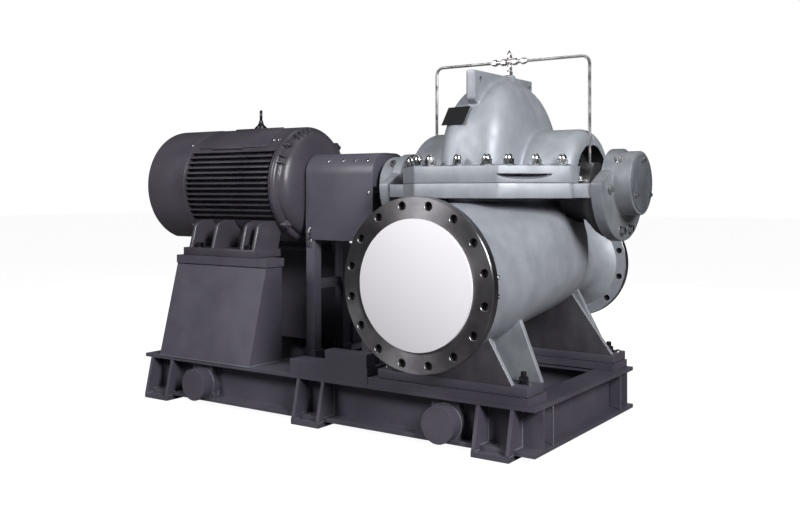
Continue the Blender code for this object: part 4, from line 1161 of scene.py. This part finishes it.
def split_studs():
    """Acorn nuts round the split flange."""
    spots = [((PUMP_X + x, side * y, SPLIT_HIGH), (0, 0, 1))
             for side in (-1, 1) for x, y in STUD_PLACES]
    fastener_row("split_acorn_nuts", "acorn", 0.038, spots, CHROME, 3)


def foot_spots(x, y):
    """Upright places for fasteners at the four corners of the pump's feet."""
    return [((PUMP_X + end * x, side * y, FOOT_PAD_TOP), (0, 0, 1))
            for side in (-1, 1) for end in (-1, 1)]


def small_pump_fasteners():
    """Foot nuts and jack screws, gauge plugs behind the suction flange, and gland nuts."""
    nuts = foot_spots(*FOOT_NUTS)
    fastener_row("pump_foot_nuts", "stud", 0.032, nuts, BLACK_STEEL, 5)
    jacks = foot_spots(*FOOT_JACKS)
    fastener_row("pump_foot_jack_screws", "bolt", 0.013, jacks, ZINC, 6)
    plugs = [(place, (1, 0, 0)) for place in GAUGE_PLUGS]
    fastener_row("gauge_tap_plugs", "socket", 0.017, plugs, ZINC, 7)
    glands = [((PUMP_X + side * x, y, GLAND_NUT_Z), (0, 0, 1)) for side in (-1, 1)
              for x, y in GLAND_NUTS]
    fastener_row("gland_nuts", "acorn", 0.019, glands, CHROME, 8)


def bearing_bracket(place, sign, finish):
    """A bearing bracket: a half-round flange that goes over into a round housing."""
    inner, outer = BRACKET_X
    lower = arc((0, SHAFT_Z), BRACKET_R, 180, 360, 48)
    upper = arc((0, SHAFT_Z), HOUSING_R + 0.004, 24, 156, 24)
    flange = softened(slab(lower + upper, "X", PUMP_X + sign * inner, PUMP_X + sign * outer), 0.004)
    way = shaft_rod(PUMP_X + sign * 0.40, PUMP_X + sign * 0.60, TURNED_BORE_R)
    flange = boolean(flange, [way], "DIFFERENCE")
    length = HOUSING_END_X - inner
    step = outer - inner
    housing = turned([(0.004, TURNED_BORE_R), (0.004, HOUSING_R + 0.010), (step, HOUSING_R + 0.010),
                      (step + 0.003, HOUSING_R + 0.003), (step + 0.010, HOUSING_R),
                      (length - 0.006, HOUSING_R), (length - 0.002, HOUSING_R - 0.0012),
                      (length, HOUSING_R - 0.005), (length, TURNED_BORE_R)],
                     on_shaft(PUMP_X + sign * inner, sign), 96, True)
    finished(f"bearing_bracket_{place}", joined([flange, housing]), finish,
             [f"bearing_housing_{place}_end"])


def bearing_cover(place, sign):
    """A bearing's end cover and its screws. The drive end's has the shaft's bore."""
    start = HOUSING_END_X + 0.0004
    end = COVER_END_X - COVER_SCREW * 0.75
    bore = TURNED_BORE_R if sign < 0 else 0.0
    cap = [(start, bore), (start, COVER_R), (end - 0.0022, COVER_R), (end - 0.0006, COVER_R - 0.0007),
           (end, COVER_R - 0.0022), (end, bore)]
    cover = turned(cap, on_shaft(PUMP_X, sign), 96, sign < 0)
    finished(f"bearing_end_cover_{place}", cover, COVER_PAINT,
             [f"bearing_cover_{place}_end"])
    screws = [((PUMP_X + sign * end, *round_point(COVER_SCREW_R, turn)), (sign, 0, 0))
              for turn in (0, 120, 240)]
    fastener_row(f"bearing_cover_screws_{place}", "bolt", COVER_SCREW, screws, ZINC, 9)


def bearing_end(place, sign, finish):
    """A bearing bracket with its cover, its bolts and its oil plug."""
    bearing_bracket(place, sign, finish)
    bearing_cover(place, sign)
    outer = BRACKET_X[1]
    bolts = [((PUMP_X + sign * outer, y, SHAFT_Z + z), (sign, 0, 0))
             for y, z in BRACKET_BOLTS]
    fastener_row(f"bearing_bracket_bolts_{place}", "bolt", 0.024, bolts, ZINC, 10)
    plug = (PUMP_X + sign * (outer + 0.014), *round_point(HOUSING_R, -45))
    fastener_row(f"bearing_oil_plug_{place}", "bolt", 0.022, [(plug, (0, -1, 1))], ZINC, 11)


def hex_bar(start, end, across_flats):
    """A hexagon fitting between two points, its ends turned down a little."""
    place, length = along(start, end)
    radius = across_flats / math.sqrt(3)
    cut = min(0.0012, length / 4)
    profile = [(0, 0), (0, radius * 0.88), (cut, radius), (length - cut, radius),
               (length, radius * 0.88), (length, 0)]
    return turned(profile, place, 6)


def flush_fittings():
    """The cross on the crest with its hexagon unions, and the vent plug on top."""
    x, y, z = PUMP_X, CREST[0], CROSS_Z
    crest = CREST[1]
    shapes = [ball((x, y, z), (0.0145, 0.0135, 0.0145), 32, 16),
              rod((x - 0.056, y, z), (x + 0.056, y, z), 0.0080, 24),
              rod((x, y, crest), (x, y, z + 0.030), 0.0085, 24)]
    for low, high, across in ((crest, crest + 0.014, 0.026), (crest + 0.018, crest + 0.032, 0.022),
                              (z + 0.016, z + 0.027, 0.022)):
        shapes.append(hex_bar((x, y, low), (x, y, high), across))
    shapes.append(turned([(0.027, 0), (0.027, 0.0075), (0.036, 0.0070), (0.040, 0.0042),
                          (0.0468, 0.0018), (0.0468, 0)], at(x, y, z), 24))
    for sign in (-1, 1):
        for start, end, across in CROSS_UNIONS:
            shapes.append(hex_bar((x + sign * start, y, z), (x + sign * end, y, z), across))
    finished("flush_cross_fittings", joined(shapes), STAINLESS, ["flush_cross"])


# Motor

def cowl_sheet():
    """The fan's cowl: one rounded sheet, open at the far end and flat underneath."""
    length = COWL_X[1] - COWL_X[0] - 0.0003
    rounding = [(COWL_ROUND - x, COWL_R - COWL_ROUND + y) for x, y in arc((0, 0), COWL_ROUND, 0, 90, 8)]
    outside = [(0.0, COWL_OPEN_R), *rounding, (length - 0.012, COWL_R), (length - 0.010, COWL_R - 0.002),
               (length, COWL_R - 0.002), (length, COWL_BACK_R), (0.045, COWL_BACK_R), (0.045, COWL_OPEN_R)]
    cowl = turned(outside, on_shaft(COWL_X[0]), 128, True)
    flat = box((COWL_X[0] - 0.1, -COWL_R, SHAFT_Z - 2 * COWL_R), (COWL_X[1] + 0.1, COWL_R, COWL_FLAT_Z))
    finished("fan_cowl_sheet", boolean(cowl, [flat], "DIFFERENCE"), MOTOR_PAINT,
             ["motor_fan_cowl"])


def cooling_fan():
    """The fan's hub and blades, near-black as painted shade behind the grille."""
    hub = turned([(0.030, 0), (0.030, 0.045), (0.0445, 0.060), (0.0445, 0.110), (0.060, 0.110),
                  (0.060, 0)], on_shaft(COWL_X[0]), 64)
    blades = []
    for i in range(FAN_BLADES):
        blade = box((COWL_X[0] + 0.022, -0.004, 0.05), (COWL_X[0] + 0.046, 0.004, COWL_OPEN_R - 0.008))
        blades.append(set_round(blade, math.tau * i / FAN_BLADES))
    finished("cooling_fan", joined([hub, *blades]), PAINTED_SHADE)


def fan_grille():
    """Wire rings over the cowl's opening, and the spokes that carry them."""
    wires = []
    for k in range(GRILLE_RINGS):
        ring = [(COWL_X[0] + 0.0045, across, up)
                for across, up in arc((0, SHAFT_Z), GRILLE_R - k * GRILLE_PITCH, 0, 360, 48)]
        wires += zip(ring, ring[1:])
    for k in range(GRILLE_SPOKES):
        turn = 360 * (k + 0.5) / GRILLE_SPOKES
        wires.append([(COWL_X[0] + 0.0075, *round_point(radius, turn)) for radius in (0.016, GRILLE_R)])
    grille = run_tree(scratch(edge_mesh(wires)), WIRE_RINGS, {
        "Wire radius": GRILLE_WIRE_R, "Finish": BLACK_STEEL})
    finished("fan_guard_wires", grille, BLACK_STEEL)


def fan_cowl():
    """The motor's far end: cowl, fan, grille, and the screws that hold the cowl."""
    cowl_sheet()
    cooling_fan()
    fan_grille()
    screws = []
    for turn in EAR_TURNS:
        y, z = round_point(COWL_R, turn)
        screws.append(((COWL_X[1] - 0.028, y, z), (0, y, z - SHAFT_Z)))
    fastener_row("cowl_screws", "pan", 0.015, screws, ZINC, 12)


def motor_foot(side):
    """One of the motor's long feet: the foot, the lip that joins it to the frame, and its webs."""
    (start, end), (near, far) = MOTOR_FOOT_X, MOTOR_FOOT_Y
    foot = softened(box((start, side * near, MOTOR_FOOT_LOW), (end, side * far, MOTOR_FOOT_TOP)), 0.003)
    lip = box((start + 0.02, side * near, MOTOR_FOOT_TOP - 0.005),
              (end - 0.02, side * (near + 0.016), MOTOR_FOOT_TOP + 0.040))
    outline = [(side * y, z) for y, z in MOTOR_WEB]
    webs = [softened(slab(outline, "X", x - MOTOR_WEB_T / 2, x + MOTOR_WEB_T / 2), 0.004)
            for x in MOTOR_WEB_X]
    return [foot, lip, *webs]


def fin_root(z):
    """How far from the middle the metal between two fins lies, at a height."""
    return math.sqrt(MOTOR_R ** 2 - (z - SHAFT_Z) ** 2) - FIN_DEPTH


def fin_slots(side):
    """Cutters for one side's fins: the recess before their free ends, and the slots between them."""
    low, high = FIN_Z[0] - FIN_PITCH, FIN_Z[1] + FIN_PITCH
    roots = [(side * fin_root(z), z) for z in (low + (high - low) * i / 24 for i in range(25))]
    recess = roots + [(side * FIN_REACH_Y, high), (side * FIN_REACH_Y, low)]
    cutters = [slab(recess, "X", FIN_END_X, MOTOR_END_X - 0.005)]
    for i in range(FIN_COUNT + 1):
        start = FIN_Z[0] + (i - 1) * FIN_PITCH + FIN_T / 2
        end = start + FIN_PITCH - FIN_T
        cutters.append(box((COWL_X[1] - 0.01, side * fin_root((start + end) / 2), start),
                           (FIN_END_X + 0.001, side * FIN_REACH_Y, end)))
    return cutters


def motor_casing():
    """The motor's frame: long level fins on both sides with free tips, and long feet with webs."""
    body = shaft_rod(COWL_X[1] + 0.0004, MOTOR_END_X - 0.0004, MOTOR_R, 128)
    body = boolean(body, motor_foot(-1) + motor_foot(1), "UNION")
    body = boolean(body, fin_slots(-1) + fin_slots(1), "DIFFERENCE")
    finished("motor_casing", body, MOTOR_PAINT, ["motor_frame"])


def drive_shield():
    """The motor's domed shield: a rolled rim with four bolt ears and a smooth dome round its bore."""
    shield = turned([(0.0, 0.0), *SHIELD, (SHIELD[-1][0], TURNED_BORE_R), (SHIELD_BORE_X, TURNED_BORE_R),
                     (SHIELD_BORE_X, 0.0)], on_shaft(MOTOR_END_X), 128)
    low, high = EAR_R
    ears = []
    for turn in EAR_TURNS:
        ear = softened(box((MOTOR_END_X + 0.001, -EAR_HALF, low), (EAR_X, EAR_HALF, high)), 0.006)
        ears.append(set_round(ear, math.radians(turn)))
    finished("motor_shield", boolean(shield, ears, "UNION"), MOTOR_PAINT,
             ["motor_drive_shield"], 40)


def bent_plate(radii, turns, ends, edge, segments):
    """A plate bent round the front of the motor, its turns in degrees from upright."""
    inner, outer = radii
    outline = [round_point(outer, -turn) for turn in turns]
    outline += [round_point(inner, -turn) for turn in reversed(turns)]
    return softened(slab(outline, "X", *ends), edge, segments, BENT_EDGE_ANGLE)


def motor_panel():
    """The smooth raised panel above the front fins, and the lips along its two edges."""
    low, high = PANEL_TURNS
    panel = bent_plate(PANEL_R, range(low, high + 1, 5), PANEL_X, 0.004, 3)
    finished("motor_side_panel_front", panel, MOTOR_PAINT)
    lips = []
    for low, high, start, end in PANEL_LIPS:
        turns = [low + (high - low) * i / 3 for i in range(4)]
        lips.append(bent_plate(LIP_R, turns, (start, end), 0.002, 2))
    finished("motor_panel_lips", joined(lips), MOTOR_PAINT)


def shield_ribs():
    """Thin crescent ribs in the valley behind the shield's rim."""
    outline = [(MOTOR_END_X + x, radius) for x, radius in SHIELD_RIB]
    ribs = [set_round(slab(outline, "Y", -0.003, 0.003), math.radians(turn)) for turn in SHIELD_RIB_TURNS]
    finished("shield_ribs", joined(ribs), MOTOR_PAINT)


def motor_fasteners():
    """Screws on the motor's frame, and the bolts of its feet and its shield."""
    screws = []
    for turn in SHOULDER_SCREW_TURNS:
        y, z = round_point(MOTOR_R, turn)
        screws += [((x, y, z), (0, y, z - SHAFT_Z)) for x in SHOULDER_SCREW_X]
    fastener_row("motor_frame_screws", "pan", 0.015, screws, ZINC, 13)
    feet = [((x, side * MOTOR_BOLT_Y, MOTOR_FOOT_TOP), (0, 0, 1))
            for side in (-1, 1) for x in MOTOR_BOLT_X]
    fastener_row("motor_foot_bolts", "bolt", 0.030, feet, BLACK_STEEL, 14)
    ears = [((EAR_X, *round_point(EAR_BOLT_R, -turn)), (1, 0, 0)) for turn in EAR_TURNS]
    fastener_row("shield_bolts", "bolt", 0.016, ears, MOTOR_PAINT, 15)


def lifting_eye():
    """The motor's eye bolt: a forged ring turned aslant on a flared collar and washer."""
    section = [(up, EYE_RING_R + out) for out, up in arc((0, 0), EYE_WIRE_R, 0, 337.5, 15)]
    ring = turned(section, Matrix.Identity(4), 64, True)
    middle = Matrix.Translation((EYE_X, 0, EYE_TOP - EYE_RING_R - EYE_WIRE_R))
    ring.transform(middle @ Matrix.Rotation(math.radians(EYE_TURN), 4, "Z") @ AXES["X"])
    collar = turned([(0, 0), (0, 0.030), (0.010, 0.030), (0.011, 0.0255), (0.014, 0.025), (0.022, 0.016),
                     (0.032, 0.011), (0.044, 0.009), (0.046, 0)], at(EYE_X, 0, MOTOR_TOP), 48)
    finished("motor_lifting_eye", joined([ring, collar]), BLACK_STEEL, ["motor_eye_bolt"])


# Guard

def guard_outline(inset, low):
    """The guard's arch from one low edge to the other, as (y, z)."""
    half, top, rounding = GUARD_HALF_Y - inset, GUARD_TOP - inset, GUARD_ROUND - inset
    left = [(y + half - rounding, z + top - rounding) for y, z in arc((0, 0), rounding, 0, 90, 24)]
    return [(half, low), *left, *[(-y, z) for y, z in reversed(left)], (-half, low)]


def guard_screws():
    """Screws along the guard's shoulders, and one on each side near its end."""
    across, up = GUARD_SHOULDER
    y = GUARD_HALF_Y - GUARD_ROUND + GUARD_ROUND * across
    z = GUARD_TOP - GUARD_ROUND + GUARD_ROUND * up
    screws = [((x, side * y, z), (0, side * across, up))
              for side in (-1, 1) for x in GUARD_SCREW_X]
    x, z = GUARD_END_SCREW
    screws += [((x, side * GUARD_HALF_Y, z), (0, side, 0)) for side in (-1, 1)]
    fastener_row("guard_screws", "pan", 0.017, screws, ZINC, 16)


def guard_sheets():
    """The guard's bent hood, and the plate across its pump end with the shaft's way through it."""
    outer = guard_outline(0.0, GUARD_LOW)
    inner = guard_outline(GUARD_T, GUARD_LOW)
    hood = softened(slab(outer + inner[::-1], "X", *GUARD_X), SHEET_EDGE)
    finished("guard_hood", hood, GUARD_PAINT, ["coupling_guard"], 40)
    end = GUARD_X[1]
    plate = slab(guard_outline(GUARD_T + 0.0005, GUARD_PLATE_LOW), "X", end - 0.006, end - 0.003)
    plate = boolean(plate, [shaft_rod(end - 0.03, end + 0.03, GUARD_SHAFT_WAY_R, 64)], "DIFFERENCE")
    finished("guard_end_plate", softened(plate, SHEET_EDGE), GUARD_PAINT)


def guard_latches():
    """The toggle latch on each side: a plate on the guard, one on its leg, and the lever over both."""
    for place, side in (("front", -1), ("rear", 1)):
        y = side * GUARD_HALF_Y
        plates = [box((-0.298, y, 0.728), (-0.272, y + side * 0.004, 0.752)),
                  box((-0.296, side * 0.123, 0.668), (-0.270, side * 0.128, 0.700)),
                  box((-0.291, y + side * 0.003, 0.676), (-0.279, y + side * 0.009, 0.744))]
        latch = joined([softened(plate, 0.001) for plate in plates])
        finished(f"guard_latch_{place}", latch, ZINC)


# Welds of the base frame

def base_welds():
    """Lines along the gussets, pads, trunnions, pedestals and beam ends."""
    lines = []
    for start, end in FEET_X:
        for side in (-1, 1):
            for x in (start + 0.002, start + 0.016, end - 0.012, end + 0.002):
                lines += [[(x, side * y, z) for y, z in bead] for bead in GUSSET_BEADS]
    for x in TRUNNIONS_X:
        for side in (-1, 1):
            ring = [(across, side * TRUNNION_Y, up)
                    for across, up in arc((x, TRUNNION_Z), TRUNNION_R, 0, 360, 24)]
            lines += zip(ring, ring[1:])
            for edge in (x - DOUBLER_HALF, x + DOUBLER_HALF):
                lines.append([(edge, side * BEAM_FACE_Y, z) for z in BEAM_WELD_Z])
    for x in END_BEAMS_X:
        for side in (-1, 1):
            lines.append([(x, side * END_BEAMS_Y, z) for z in BEAM_WELD_Z])
    inner, outer = PEDESTAL_Y
    for side in (-1, 1):
        for x in PEDESTAL_X:
            lines.append([(x, side * outer, PEDESTAL_Z), (x, side * inner, PEDESTAL_Z)])
        lines.append([(x, side * (outer + 0.0035), PEDESTAL_Z - 0.0005) for x in PEDESTAL_X])
    return lines


def weld_beads():
    """The base frame's beads of weld, in a paler, glossier slate paint."""
    beads = run_tree(scratch(edge_mesh(base_welds())), WELD_BEAD, {
        "Bead radius": BEAD_R, "Ripple": BEAD_RIPPLE, "Ripple seed": 4, "Finish": WELD_PAINT})
    finished("base_weld_beads", beads, WELD_PAINT)


upper_casting()
lower_casting()
nozzle("suction", SUCTION)
nozzle("discharge", DISCHARGE)
split_studs()
small_pump_fasteners()
bearing_end("drive", -1, CASING_PAINT)
bearing_end("free", 1, BRACKET_PAINT)
flush_fittings()
fan_cowl()
motor_casing()
drive_shield()
motor_panel()
shield_ribs()
motor_fasteners()
lifting_eye()
guard_screws()
guard_sheets()
guard_latches()
weld_beads()
for tool in TOOLS.values():
    bpy.data.objects.remove(tool)


# Finishes of the carried-over nodes

NODE_FINISHES = {
    "frame_paint": FRAME_PAINT, "motor_paint": MOTOR_PAINT, "guard_paint": GUARD_PAINT,
    "casing_paint": CASING_PAINT, "bracket_paint": BRACKET_PAINT, "machined_steel": FLANGE_STEEL,
    "stainless": STAINLESS, "white_cover": LAMINATE, "black_plate": PLATE_BLACK,
}
for part in frame["record"]["subparts"]:
    carried = frame["nodes"].get(part["node"])
    if carried is not None:
        carried.data.materials.clear()
        carried.data.materials.append(NODE_FINISHES[part["material_slot"]])


# Floor, light and camera

def soft_light(name, place, aim, size, power, shine):
    """A broad square lamp that faces a point; without shine, reflections don't show it."""
    lamp = bpy.data.lights.new(name, "AREA")
    lamp.shape = "RECTANGLE"
    lamp.size, lamp.size_y = size
    lamp.energy = power
    holder = bpy.data.objects.new(name, lamp)
    bpy.context.scene.collection.objects.link(holder)
    holder.location = place
    holder.rotation_euler = (Vector(aim) - Vector(place)).to_track_quat("-Z", "Y").to_euler()
    holder.visible_glossy = shine


def pale_room():
    """A room that lights the set softly, more from above than from below, and looks white itself."""
    world = bpy.data.worlds.new("pale_room")
    world.use_nodes = True
    tree = world.node_tree
    seen = add_node(tree, "ShaderNodeLightPath", {}, "Is Camera Ray")
    way = add_node(tree, "ShaderNodeTexCoord", {}, "Generated")
    height = add_node(tree, "ShaderNodeSeparateXYZ", {0: way}, 2)
    fill = add_node(tree, "ShaderNodeMapRange", {"Value": height, "From Min": -0.1, "From Max": 0.9,
                                                  "To Min": 0.01, "To Max": 0.06})
    shown = add_node(tree, "ShaderNodeMix", {0: seen, 2: fill, 3: 1.0}, data_type="FLOAT")
    wire(tree, tree.nodes["Background"], {"Color": linear("#FFFFFF"), "Strength": shown})
    bpy.context.scene.world = world


def studio():
    """A white board under the set, the pale room round it, and the lamps."""
    board = box((-FLOOR_HALF, -FLOOR_HALF, FLOOR_Z[0]), (FLOOR_HALF, FLOOR_HALF, FLOOR_Z[1]))
    floor = finished("floor", board, floor_board("pale_floor_board"))
    pale_room()
    for name, (place, aim, size, power, shine) in LAMPS.items():
        soft_light(name, place, aim, size, power, shine)
    bpy.context.scene.view_settings.view_transform = "Standard"


def photo_camera():
    """The camera, level, at the photograph's place and angle."""
    data = bpy.data.cameras.new("photo_view")
    data.lens = CAMERA_LENS
    data.sensor_width = CAMERA_SENSOR
    data.shift_y = CAMERA_SHIFT
    view = bpy.data.objects.new("photo_view", data)
    bpy.context.scene.collection.objects.link(view)
    view.location = CAMERA_PLACE
    view.rotation_euler = (math.radians(90), 0, math.radians(CAMERA_TURN))
    bpy.context.scene.camera = view


studio()
photo_camera()
